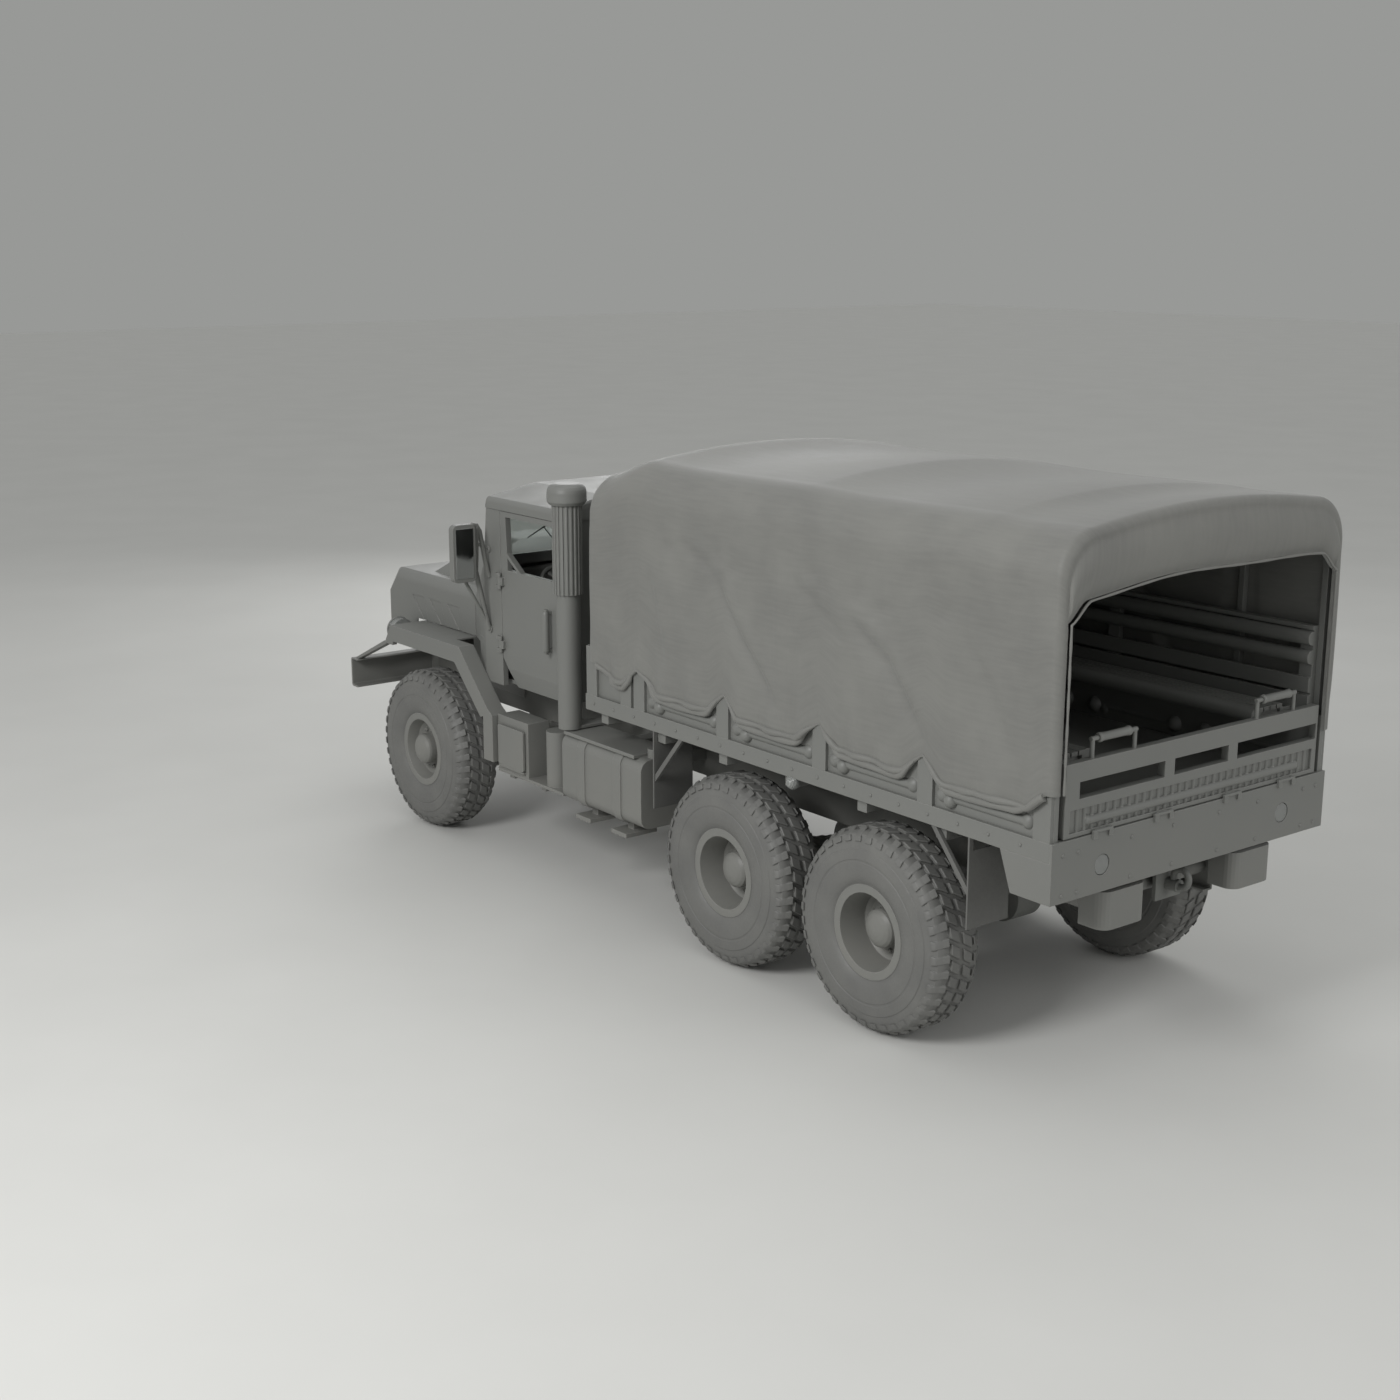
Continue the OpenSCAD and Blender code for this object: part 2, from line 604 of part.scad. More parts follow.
module hood() {
    color(paint) {
        difference() {
            hood_form(0);
            hood_form(hood_t);
            block(hood_rear_x - 1, hood_nose_x - hood_t, -hood_hw + hood_t, hood_hw - hood_t,
                  hood_nose_z - 1, hood_nose_z + 200);
            block(hood_rear_x - 1, hood_rear_x + 1, -hood_hw, hood_hw, hood_nose_z - 1, hood_crown_z + 1);
            block(hood_rear_x - 1, fender_tip_x + move_gap, -hood_hw - 1, hood_hw + 1,
                  hood_nose_z - 1, hood_skirt_z);
            block(hood_nose_x - hood_t - 1, hood_nose_x + 1, -grille_hw, grille_hw, grille_z[0], grille_z[1]);
            both_sides() for (i = [0:2]) louvre(hood_rear_x + 190 + i * 275);
        }
        both_sides() difference() {
            union() {
                block(hinge_x - 24, hood_nose_x - 2, hinge_y, hinge_y + hinge_lug_t, hinge_z, hood_nose_z + 6);
                rod_y(24, hinge_y, hinge_y + hinge_lug_t, hinge_x, hinge_z);
                block(hood_nose_x - 30, hood_nose_x - 2, hinge_y, hinge_y + hinge_lug_t, hinge_z, hood_nose_z + 40);
            }
            rod_y(hinge_pin_r + run_gap, hinge_y - 1, hinge_y + hinge_lug_t + 1, hinge_x, hinge_z);
        }
    }
}
grille_bar = 26;
grille_pitch = 62;
module grille() {
    z0 = grille_z[0] + seat_gap;
    z1 = grille_z[1] - seat_gap;
    y1 = grille_hw - seat_gap;
    x0 = hood_nose_x - hood_t;
    color(dark) {
        difference() {
            block(x0, hood_nose_x, -y1, y1, z0, z1);
            block(x0 - 1, hood_nose_x + 1, -y1 + 30, y1 - 30, z0 + 30, z1 - 30);
        }
        for (z = [z0 + grille_pitch:grille_pitch:z1 - 30])
            block(x0, hood_nose_x - 3, -y1 + 1, y1 - 1, z, z + grille_bar);
        for (y = [-y1 / 2, 0, y1 / 2]) block(x0, hood_nose_x - 3, y - 12, y + 12, z0 + 1, z1 - 1);
    }
}

// Cab: cowl with the side posts and windshield frame, floor, back wall, roof and two doors
firewall_x = cab_front_x + 255;
firewall_t = 15;
cowl_x = hood_rear_x - move_gap;
cowl_z0 = fender_z + move_gap;
cowl_t = 16;
post_x = door_front_x + door_gap;
door_rear_x = cab_rear_x + wall_t + 20;
screen_lean = 50;
screen_t = 40;
floor_top = cab_floor_z + 30;
hinge_levels = [1600, 2080];
door_pin_r = 8;
door_axis_x = door_front_x + door_gap / 2;
door_axis_y = cab_hw + 16;
knuckle_h = 60;
module cowl_form(inset) {
    hull() {
        block(cowl_x - 10, cowl_x, -hood_hw + inset, hood_hw - inset, cowl_z0, hood_shoulder_z - 60 - inset);
        both_sides() rod_x(60, cowl_x - 10, cowl_x, 450 - inset, hood_crown_z - 60 - inset, $fn = 32);
        block(cab_front_x + 35, cab_front_x + screen_lean, -cab_hw + inset, cab_hw - inset,
              cowl_z0, belt_z + 12 - inset);
    }
}
module screen_outline(x0, x1, z0, z1) {
    lean = screen_lean / (roof_z - belt_z);
    polygon([[x0 - lean * (z0 - belt_z), z0], [x1 - lean * (z0 - belt_z), z0],
             [x1 - lean * (z1 - belt_z), z1], [x0 - lean * (z1 - belt_z), z1]]);
}
screen_x = cab_front_x + screen_lean;
pane_y = [45, cab_hw - 95];
pane_z = [belt_z + 60, roof_z - 50];
module cab_cowl() {
    color(paint) difference() {
        union() {
            difference() {
                cowl_form(0);
                cowl_form(cowl_t);
                block(cowl_x - 11, cowl_x + 1, -hood_hw + cowl_t, hood_hw - cowl_t, cowl_z0 - 1,
                      hood_shoulder_z - 80);
            }
            intersection() {
                cowl_form(0);
                block(firewall_x, firewall_x + firewall_t, -cab_hw, cab_hw, cowl_z0, hood_crown_z);
            }
            block(firewall_x, firewall_x + firewall_t, -cab_hw + 115, cab_hw - 115, cab_floor_z, cowl_z0 + 1);
            both_sides() {
                translate([0, 0, cab_floor_z]) linear_extrude(cowl_z0 + 60 - cab_floor_z) polygon([
                    [cab_front_x - 5, cab_hw], [cab_front_x + 50, cab_hw], [firewall_x + firewall_t, cab_hw - 84],
                    [firewall_x + firewall_t, cab_hw - 116], [cab_front_x + 50, cab_hw - 30],
                    [cab_front_x - 5, cab_hw - 30]]);
                block(post_x, cab_front_x + 36, cab_hw - wall_t, cab_hw, cab_floor_z, belt_z);
                along_y(cab_hw - wall_t, cab_hw) polygon([
                    [post_x, belt_z - 1], [screen_x, belt_z - 1], [screen_x - screen_lean, roof_z],
                    [post_x, roof_z]]);
                for (z = hinge_levels) {
                    rod_z(door_pin_r, z - 31, z + knuckle_h + 31, door_axis_x, door_axis_y);
                    for (end = [z - 31, z + knuckle_h + 1]) {
                        rod_z(14, end, end + 30, door_axis_x, door_axis_y);
                        block(door_axis_x, door_axis_x + 46, cab_hw - 1, door_axis_y + 10, end, end + 30);
                    }
                }
            }
            along_y(-cab_hw, cab_hw) screen_outline(screen_x - screen_t, screen_x, belt_z - 20, roof_z);
        }
        both_sides() along_y(pane_y[0], pane_y[1])
            screen_outline(screen_x - 200, screen_x + 200, pane_z[0], pane_z[1]);
    }
}
module cab_floor() {
    half = cab_hw - wall_t - 45;
    color(dark) {
        translate([0, 0, cab_floor_z]) linear_extrude(floor_top - cab_floor_z) polygon([
            [cab_rear_x + wall_t, -half], [cab_front_x + 60, -half], [firewall_x - seat_gap, -half + 45],
            [firewall_x - seat_gap, half - 45], [cab_front_x + 60, half], [cab_rear_x + wall_t, half]]);
        both_sides() for (x = [cab_rear_x + 120, cab_front_x - 60])
            block(x, x + 110, rail_in, rail_y, rail_top, cab_floor_z + 1);
    }
}
back_pane = [420, belt_z + 20, roof_z - 90];
module cab_back() {
    color(paint) difference() {
        union() {
            block(cab_rear_x, cab_rear_x + wall_t, -cab_hw, cab_hw, cab_floor_z, roof_z);
            both_sides() block(cab_rear_x, door_rear_x - door_gap, cab_hw - wall_t, cab_hw, cab_floor_z, roof_z);
        }
        block(cab_rear_x - 1, cab_rear_x + wall_t + 1, -back_pane[0], back_pane[0], back_pane[1], back_pane[2]);
    }
}
roof_edge_r = 40;
module roof_form(inset) {
    hw = cab_hw + 10 - inset;
    x0 = cab_rear_x - 8 + inset;
    x1 = cab_front_x - 6 - inset;
    hull() {
        block(x0, x1, -hw, hw, roof_z, roof_z + 20);
        both_sides() rod_x(roof_edge_r, x0 + 12, x1 - 12, hw - roof_edge_r, roof_z + 86 - inset - roof_edge_r,
                           $fn = 32);
        for (x = [x0 + roof_edge_r + 10, x1 - roof_edge_r - 10])
            rod_y(roof_edge_r, -hw + 420, hw - 420, x, roof_z + roof_h - inset - roof_edge_r, $fn = 32);
    }
}
module cab_roof() {
    color(paint) difference() {
        roof_form(0);
        translate([0, 0, -0.5]) roof_form(24);
    }
}
module cab_glass() {
    color([0.7, 0.75, 0.75, 0.4]) {
        both_sides() along_y(pane_y[0] + seat_gap, pane_y[1] - seat_gap)
            screen_outline(screen_x - 24, screen_x - 16, pane_z[0] + seat_gap, pane_z[1] - seat_gap);
        block(cab_rear_x + 18, cab_rear_x + 26, -back_pane[0] + seat_gap, back_pane[0] - seat_gap,
              back_pane[1] + seat_gap, back_pane[2] - seat_gap);
    }
}
seat_x = cab_rear_x + wall_t + 70;
seat_y = 480;
seat_hw = 270;
module seat() {
    block(seat_x + 40, seat_x + 430, seat_y - seat_hw + 50, seat_y + seat_hw - 50, floor_top, floor_top + 260);
    along_y(seat_y - seat_hw, seat_y + seat_hw)
        polygon(round_box(seat_x + 20, floor_top + 250, seat_x + 500, floor_top + 390, 45));
    along_y(seat_y - seat_hw, seat_y + seat_hw) translate([seat_x, floor_top + 300]) rotate(6)
        polygon(round_box(0, 0, 110, 560, 45));
}
module cab_seats() { color(dark) both_sides() seat(); }
wheel_pos = [cab_front_x - 270, 480, 2030];
wheel_tilt = 30;
wheel_r = 225;
column_r = 18;
dash_x = [cab_front_x - 10, cab_front_x + 100];
dash_z = [1850, 2150];
module on_column() { translate(wheel_pos) rotate([0, -wheel_tilt, 0]) children(); }
module dashboard() {
    color(dark) difference() {
        union() {
            along_y(-cab_hw + wall_t + seat_gap, cab_hw - wall_t - seat_gap)
                polygon(round_box(dash_x[0], dash_z[0], dash_x[1], dash_z[1], 30));
            on_column() translate([0, 0, -420]) cylinder(r = column_r + 18, h = 240);
            block(wheel_pos[0] + 80, dash_x[0] + 40, wheel_pos[1] - 30, wheel_pos[1] + 30,
                  dash_z[0] + 5, dash_z[0] + 75);
        }
        on_column() translate([0, 0, -400]) cylinder(r = column_r + run_gap, h = 420);
    }
}
module steering_wheel() {
    color(dark) on_column() {
        rotate_extrude($fn = 64) translate([wheel_r, 0]) circle(r = 17, $fn = 20);
        translate([0, 0, -45]) cylinder(r = 48, h = 50);
        for (a = [30, 150, 270]) rotate([0, 0, a]) translate([20, -14, -16]) cube([wheel_r - 26, 28, 14]);
        translate([0, 0, -330]) cylinder(r = column_r, h = 300);
    }
}
door_z0 = cab_floor_z + 10;
door_top = roof_z - move_gap;
sill_curve_z = cab_floor_z + 255;
tuck = 34;
module door_section() {
    function skin(y) = [[y, door_top], [y, sill_curve_z], [y - tuck * 0.2, sill_curve_z - 115],
                        [y - tuck, door_z0]];
    polygon(concat(skin(cab_hw), flip(skin(cab_hw - wall_t))));
}
module door_left_body() {
    difference() {
        union() {
            intersection() {
                along_x(door_rear_x, door_front_x) door_section();
                along_y(0, cab_hw + 1) polygon([
                    [door_rear_x, door_z0], [door_front_x - 150, door_z0], [door_front_x, door_z0 + 210],
                    [door_front_x, door_top], [door_rear_x, door_top]]);
            }
            for (z = hinge_levels) {
                rod_z(14, z, z + knuckle_h, door_axis_x, door_axis_y);
                block(door_axis_x - 46, door_axis_x, cab_hw - 1, door_axis_y + 10, z, z + knuckle_h);
            }
            rod_z(16, door_z0 + 350, door_z0 + 680, door_rear_x + 70, cab_hw + 46);
            for (z = [door_z0 + 362, door_z0 + 640])
                block(door_rear_x + 56, door_rear_x + 84, cab_hw - 1, cab_hw + 46, z, z + 28);
        }
        along_y(0, cab_hw + 1) difference() {
            polygon([[door_rear_x + 40, belt_z], [door_front_x - 88, belt_z], [door_front_x - 70, door_top - 40],
                     [door_rear_x + 40, door_top - 40]]);
            polygon([[door_front_x - 266, belt_z - 1], [door_front_x - 225, belt_z - 1],
                     [door_front_x - 60, belt_z + 110], [door_front_x - 60, belt_z + 140]]);
        }
        for (z = hinge_levels)
            rod_z(door_pin_r + run_gap, z - 1, z + knuckle_h + 1, door_axis_x, door_axis_y);
    }
}
module door_left() { color(paint) door_left_body(); }
module door_right() { color(paint) mirror([0, 1, 0]) door_left_body(); }

// Mirrors: a head on a tube loop with two arms to the cowl
mirror_x = cab_front_x - 70;
mirror_y = cab_hw + 250;
mirror_z = [2110, 2540];
mirror_foot_x = cab_front_x - 30;
module mirror_arm(z0, z1) {
    reach = mirror_y - cab_hw;
    translate([mirror_foot_x, cab_hw, z0])
        rotate([-atan2(reach, z1 - z0), 0, 0]) cylinder(r = 13, h = sqrt(reach * reach + (z1 - z0) * (z1 - z0)));
}
module mirrors() {
    color(paint) both_sides() difference() {
        union() {
            along_x(mirror_x - 25, mirror_x + 35)
                polygon(round_box(mirror_y - 95, mirror_z[0], mirror_y + 95, mirror_z[1], 40));
            mirror_arm(2330, mirror_z[1] - 90);
            mirror_arm(1720, mirror_z[0] + 60);
            for (z = [2330, 1720]) rod_y(26, cab_hw - 40, cab_hw + 14, mirror_foot_x, z);
        }
        block(mirror_foot_x - 100, mirror_foot_x + 100, 0, cab_hw + seat_gap, cab_floor_z, roof_z);
    }
}

// Side gear: intake and exhaust stacks, toolbox, battery box, air tanks and fuel tank
stack_x = cab_rear_x - 135;
stack_y = cab_hw + 30;
stack_z0 = rail_top + 30;
seam_z = 2156;
module stack_bracket() {
    block(stack_x - 75, stack_x + 60, rail_in, stack_y, stack_z0, stack_z0 + 20);
    block(stack_x - 75, stack_x + 60, rail_in, rail_y, rail_top, stack_z0 + 1);
}
module intake_stack() {
    low_r = intake_r - 22;
    cap_r = intake_r + 33;
    color(paint) {
        stack_bracket();
        translate([stack_x, stack_y, 0]) {
            rotate_extrude($fn = 64) polygon(concat(
                [[0, stack_z0], [low_r, stack_z0], [low_r, seam_z], [intake_r - 8, seam_z],
                 [intake_r - 8, intake_top_z - 145], [cap_r - 20, intake_top_z - 150], [cap_r, intake_top_z - 125],
                 [cap_r, intake_top_z - 60]],
                [for (a = [20:20:80]) [cap_r - 60 + 60 * cos(a), intake_top_z - 60 + 60 * sin(a)]],
                [[0, intake_top_z]]));
            for (a = [0:18:342]) rotate([0, 0, a]) translate([intake_r - 12, -7, seam_z + 1])
                cube([12, 14, intake_top_z - 152 - seam_z]);
        }
    }
}
exhaust_r = 62;
module exhaust_stack() {
    color(dark) mirror([0, 1, 0]) {
        stack_bracket();
        rod_z(exhaust_r, stack_z0 + 1, roof_z, stack_x, stack_y);
        difference() {
            rod_z(exhaust_r + 30, stack_z0 + 190, roof_z - 290, stack_x, stack_y);
            for (z = [stack_z0 + 240:150:roof_z - 400]) for (a = [0:30:150])
                translate([stack_x, stack_y, z + 40]) rotate([0, 0, a])
                    difference() {
                        translate([-150, -9, -40]) cube([300, 18, 100]);
                        translate([0, 0, -41]) cylinder(r = exhaust_r + 16, h = 102);
                    }
        }
        translate([stack_x, stack_y, roof_z - 60]) rotate([-35, 0, 0]) difference() {
            cylinder(r = exhaust_r, h = 190);
            translate([0, 0, 60]) cylinder(r = exhaust_r - 8, h = 140);
        }
    }
}
box_len = 413;
box_x = [skirt_rear_x - 10 - box_len, skirt_rear_x - 10];
box_z = [700, 1118];
box_front_y = gear_y - 20 - move_gap;
step_x0 = stack_x;
step_z0 = 640;
lid_z0 = box_z[0] + 45;
lid_axis = [gear_y - 10, lid_z0 - 11];
lid_pin_r = 5;
module side_box() {
    block(box_x[0], box_x[1], gear_y - toolbox_d, box_front_y, box_z[0], box_z[1]);
    block(step_x0, box_x[1], gear_y - toolbox_d - 20, gear_y - 20, step_z0 + 40, box_z[0] + 1);
    for (x = [box_x[0] - 180, box_x[1] - 160])
        block(x, x + 60, gear_y - toolbox_d - 40, gear_y - 60, step_z0, step_z0 + 41);
    for (x = [box_x[0] + 60, box_x[1] - 140]) {
        block(x, x + 80, rail_y, gear_y - toolbox_d + 1, box_z[0] + 230, box_z[0] + 290);
    }
}
module toolbox() {
    color(paint) {
        difference() {
            side_box();
            block(box_x[0] + 45, box_x[1] - 45, gear_y - toolbox_d + 10, box_front_y + 1, lid_z0 + 15,
                  box_z[1] - 80);
        }
        for (x = [box_x[0] + 34, box_x[1] - 64]) {
            rod_x(9, x, x + 30, lid_axis[0], lid_axis[1]);
            block(x, x + 30, box_front_y - 1, lid_axis[0], lid_axis[1] - 9, lid_axis[1] + 6);
        }
        for (x = [box_x[0] + 34, box_x[1] - 74]) rod_x(lid_pin_r, x, x + 40, lid_axis[0], lid_axis[1]);
        rod_z(95, box_z[0] - 1, box_z[1] - 8, box_x[0] - 260, gear_y - 130);
    }
}
module toolbox_door() {
    x0 = box_x[0] + 34;
    x1 = box_x[1] - 34;
    color(paint) difference() {
        union() {
            along_y(gear_y - 20, gear_y) polygon(round_box(x0, lid_z0, x1, box_z[1] - 66, 18));
            rod_x(9, x0 + 31, x1 - 31, lid_axis[0], lid_axis[1]);
            block(x0 + 31, x1 - 31, gear_y - 18, gear_y - 2, lid_axis[1], lid_z0 + 4);
        }
        for (x = [x0 - 1, x1 - 41]) rod_x(lid_pin_r + run_gap, x, x + 42, lid_axis[0], lid_axis[1]);
    }
}
module battery_box() {
    color(paint) mirror([0, 1, 0]) {
        side_box();
        along_x(box_x[0] - 8, box_x[1]) polygon(round_box(gear_y - toolbox_d - 8, box_z[1] - 60, gear_y - 10,
                                                          box_z[1] + 10, 8));
        for (x = [box_x[0] + 70, box_x[1] - 110])
            block(x, x + 40, box_front_y - 1, gear_y - 8, box_z[1] - 150, box_z[1] - 40);
    }
}
tank_x1 = stack_x - 10;
tank_x0 = tank_x1 - tank_len;
tank_z0 = 660;
tank_z1 = tank_z0 + tank_h;
strap_t = 10;
strap_x = [tank_x1 - 247, tank_x1 - 685];
module fuel_tank() {
    color(paint) {
        along_x(tank_x0, tank_x1)
            polygon(round_box(gear_y - tank_d, tank_z0, gear_y - strap_t, tank_z1, 80));
        for (x = strap_x) {
            along_x(x - 45, x + 45) polygon(round_box(gear_y - tank_d - strap_t, tank_z0 - strap_t, gear_y,
                                                      tank_z1 + strap_t, 86));
            block(x - 60, x + 60, rail_y, gear_y - tank_d + 1, tank_z1 - 150, tank_z1 - 60);
            block(x - 90, x + 90, gear_y - 280, gear_y - 15, tank_z0 - 100, tank_z0 - 70);
            block(x - 35, x + 35, gear_y - 240, gear_y - 120, tank_z0 - 71, tank_z0 + 1);
        }
        block(tank_x0 + 94, tank_x1 - 10, gear_y - tank_d + 60, gear_y - 20, tank_z1 - 2, tank_z1 + 22);
        rod_z(45, tank_z1 - 2, tank_z1 + 60, tank_x0 + 50, gear_y - 160);
    }
}
air_r = 110;
air_z = 960;
module air_tanks() {
    color(paint) mirror([0, 1, 0]) {
        for (y = [rail_y + 170, rail_y + 420]) {
            rod_x(air_r, tank_x0 + 110, tank_x1 - 110, y, air_z);
            for (x = [tank_x0 + 110, tank_x1 - 110]) translate([x, y, air_z]) sphere(air_r);
        }
        for (x = strap_x)
            block(x - 40, x + 40, rail_y, rail_y + 530, air_z + air_r - 15, air_z + air_r + 15);
    }
}

// Load bed: floor on bearers, boarded sides with posts and beads, headboard and rear sill
bearer_z0 = 1330;
bearer_w = 80;
bearers = 7;
rail_wall = 37;
deck_t = 4;
deck_margin = 70;
board_out = half_width - 25;
board_in = board_out - side_t;
module bed_floor() {
    color(paint) {
        block(bed_rear_x, bed_front_x, -half_width, half_width, bed_z - floor_t, bed_z);
        both_sides() {
            block(bed_rear_x, bed_front_x, half_width - rail_wall, half_width, bed_z - side_rail_h,
                  bed_z - floor_t + 1);
            block(bed_rear_x + 60, bed_front_x - 40, rail_in, rail_y, rail_top, bearer_z0 + 1);
        }
        for (i = [0:bearers - 1]) {
            x = bed_rear_x + 140 + i * (bed_front_x - bed_rear_x - 280 - bearer_w) / (bearers - 1);
            block(x, x + bearer_w, -half_width + rail_wall - 1, half_width - rail_wall + 1, bearer_z0,
                  bed_z - floor_t + 1);
        }
        block(bed_rear_x + deck_margin, bed_front_x - deck_margin, -board_in + deck_margin, board_in - deck_margin,
              bed_z - 1, bed_z + deck_t);
    }
}
side_top = bed_z + side_h;
post_at = [0.0174, 0.111, 0.1465, 0.3553, 0.5713, 0.7808, 0.985];
bead_r = 38;
bead_end_r = 52;
bead_z = bed_z + 78;
function post_x_at(i) = bed_at(post_at[i]);
module bed_side() {
    block(bed_rear_x + 1, bed_front_x - 42, board_in, board_out, bed_z, side_top);
    for (i = [0:len(post_at) - 1])
        block(post_x_at(i) - post_w / 2, post_x_at(i) + post_w / 2, board_out - 1, half_width, bed_z, side_top);
    for (i = [2:len(post_at) - 2]) {
        x0 = post_x_at(i + 1) + post_w / 2 + 60;
        x1 = post_x_at(i) - post_w / 2 - 60;
        rod_x(bead_r - 8, x0, x1, board_out - 6, bead_z);
        for (x = [x0, x1]) translate([x, board_out - 26, bead_z]) sphere(bead_end_r);
    }
}
module bed_sides() { color(paint) both_sides() bed_side(); }
module bed_headboard() {
    x0 = bed_front_x - 40;
    color(paint) difference() {
        block(x0, bed_front_x, -board_out + 1, board_out - 1, bed_z, side_top);
        for (i = [-2:2]) block(x0 + 14, bed_front_x + 1, i * 420 - 180, i * 420 + 180, bed_z + 60, side_top - 60);
    }
}
pocket_y = 785;
pocket_z = 1330;
pocket_r = 60;
hinge_span = [300, 800];
hinge_w = 90;
module rear_sill() {
    color(paint) {
        difference() {
            block(sill_x, bed_rear_x, -half_width, half_width, sill_z0, bed_z);
            both_sides() rod_x(pocket_r, sill_x - 1, bed_rear_x + 1, pocket_y, pocket_z);
        }
        both_sides() {
            along_y(half_width - 15, half_width) polygon([
                [bed_rear_x - 1, sill_z0], [bed_rear_x + 272, sill_z0],
                [bed_rear_x + 357, bed_z - side_rail_h], [bed_rear_x - 1, bed_z - side_rail_h]]);
            for (y = hinge_span) {
                rod_y(gate_pin_r - 5, y - hinge_w / 2 - 30, y + hinge_w / 2 + 30, gate_axis_x, gate_axis_z);
                for (end = [y - hinge_w / 2 - 31, y + hinge_w / 2 + 1]) {
                    rod_y(gate_pin_r, end, end + 30, gate_axis_x, gate_axis_z);
                    block(gate_axis_x - gate_pin_r, sill_x + 2, end, end + 30, gate_axis_z - 38, gate_axis_z);
                }
            }
        }
    }
}

// Tailgate: three slots over a ribbed panel, with a bead across and two handles on top
gate_x0 = gate_axis_x + 15;
gate_x1 = gate_x0 + gate_t;
gate_z0 = bed_z + move_gap;
slot_z = [gate_top_z - 203, gate_top_z - 109];
mid_rail_z = slot_z[0] - 55;
gate_panel_x = gate_x0 + 18;
rib_pitch = 60;
handle_y = [530, 870];
module tailgate() {
    color(paint) difference() {
        union() {
            difference() {
                block(gate_x0, gate_x1, -gate_hw, gate_hw, gate_z0, gate_top_z);
                for (y = [[-gate_hw + 12, -gate_hw / 3 + 20], [-gate_hw / 3 + 100, gate_hw / 4 - 66],
                          [gate_hw / 4 + 15, gate_hw - 110]])
                    block(gate_x0 - 1, gate_x1 + 1, y[0], y[1], slot_z[0], slot_z[1]);
                block(gate_x0 - 1, gate_panel_x, -gate_hw + 40, gate_hw - 40, gate_z0 + 24, mid_rail_z);
                block(gate_panel_x + 12, gate_x1 + 1, -gate_hw + 40, gate_hw - 40, gate_z0 + 24, mid_rail_z);
            }
            for (y = [-gate_hw + 90:rib_pitch:gate_hw - 90])
                rod_z(14, gate_z0 + 20, mid_rail_z + 4, gate_panel_x + 2, y);
            rod_y(26, -900, 900, gate_panel_x - 2, bead_z);
            both_sides() {
                translate([gate_panel_x + 6, 900, bead_z]) sphere(32);
                for (y = handle_y) rod_z(13, gate_top_z - 2, gate_top_z + 105, gate_x0 + gate_t / 2, y);
                rod_y(13, handle_y[0] - 13, handle_y[1] + 13, gate_x0 + gate_t / 2, gate_top_z + 105);
                for (y = hinge_span) {
                    rod_y(gate_pin_r, y - hinge_w / 2, y + hinge_w / 2, gate_axis_x, gate_axis_z);
                    block(gate_axis_x, gate_x0 + 2, y - hinge_w / 2, y + hinge_w / 2, gate_axis_z - 6, gate_axis_z + 6);
                }
            }
        }
        both_sides() for (y = hinge_span)
            rod_y(gate_pin_r - 5 + run_gap, y - hinge_w / 2 - 1, y + hinge_w / 2 + 1, gate_axis_x, gate_axis_z);
    }
}

// Side racks inside the canvas, with round backrest rails, planks and the bench hinges
rack_post_x = [bed_front_x - 250, bed_at(0.3152), bed_at(0.6327), bed_rear_x + 120];
rack_y = [board_in - 20, board_out - 13];
bench_x = [bed_rear_x + 170, bed_front_x - 200];
bench_lug_x = [bed_front_x - 250, rack_post_x[1], rack_post_x[2], bed_rear_x + 230];
bench_hinge_y = rack_y[0] - 110;
bench_pin_r = 10;
lug_w = 50;
module side_rack() {
    for (x = rack_post_x) block(x - 45, x + 45, rack_y[0], rack_y[1], side_top, rack_top_z);
    for (z = [rack_top_z - 74, rack_top_z - 188])
        rod_x(42, rack_post_x[3] - 45, rack_post_x[0] + 45, rack_y[0] - 10, z);
    for (z = [side_top + 20, side_top + 130])
        block(rack_post_x[3] - 45, rack_post_x[0] + 45, rack_y[0] - 22, rack_y[0] + 1, z, z + 92);
    block(rack_post_x[3] - 45, rack_post_x[0] + 45, rack_y[0] - 14, rack_y[1], rack_top_z - 24, rack_top_z);
    for (x = bench_lug_x) {
        for (side = [-1, 1]) {
            x0 = x + side * (lug_w / 2 + 11) - 10;
            rod_x(20, x0, x0 + 20, bench_hinge_y, bench_z);
            block(x0, x0 + 20, bench_hinge_y, rack_y[0] - 20, bench_z - 18, bench_z + 12);
        }
        rod_x(bench_pin_r, x - lug_w / 2 - 11, x + lug_w / 2 + 11, bench_hinge_y, bench_z);
    }
}
module side_racks() { color(paint) both_sides() side_rack(); }
bench_slats = 4;
module bench() {
    front_y = bench_hinge_y - bench_d;
    pitch = (bench_d - 70) / bench_slats;
    difference() {
        union() {
            rod_x(42, bench_x[0], bench_x[1], front_y + 42, bench_z + 8);
            for (i = [0:bench_slats - 1])
                block(bench_x[0], bench_x[1], front_y + 60 + i * pitch, front_y + 60 + (i + 0.8) * pitch,
                      bench_z + 20, bench_z + 46);
            for (x = bench_lug_x) {
                block(x - lug_w / 2, x + lug_w / 2, front_y + 42, bench_hinge_y, bench_z - 14, bench_z + 21);
                rod_x(22, x - lug_w / 2, x + lug_w / 2, bench_hinge_y, bench_z);
            }
        }
        for (x = bench_lug_x)
            rod_x(bench_pin_r + run_gap, x - lug_w, x + lug_w, bench_hinge_y, bench_z);
    }
}
module bench_left() { color(paint) bench(); }
module bench_right() { color(paint) mirror([0, 1, 0]) bench(); }

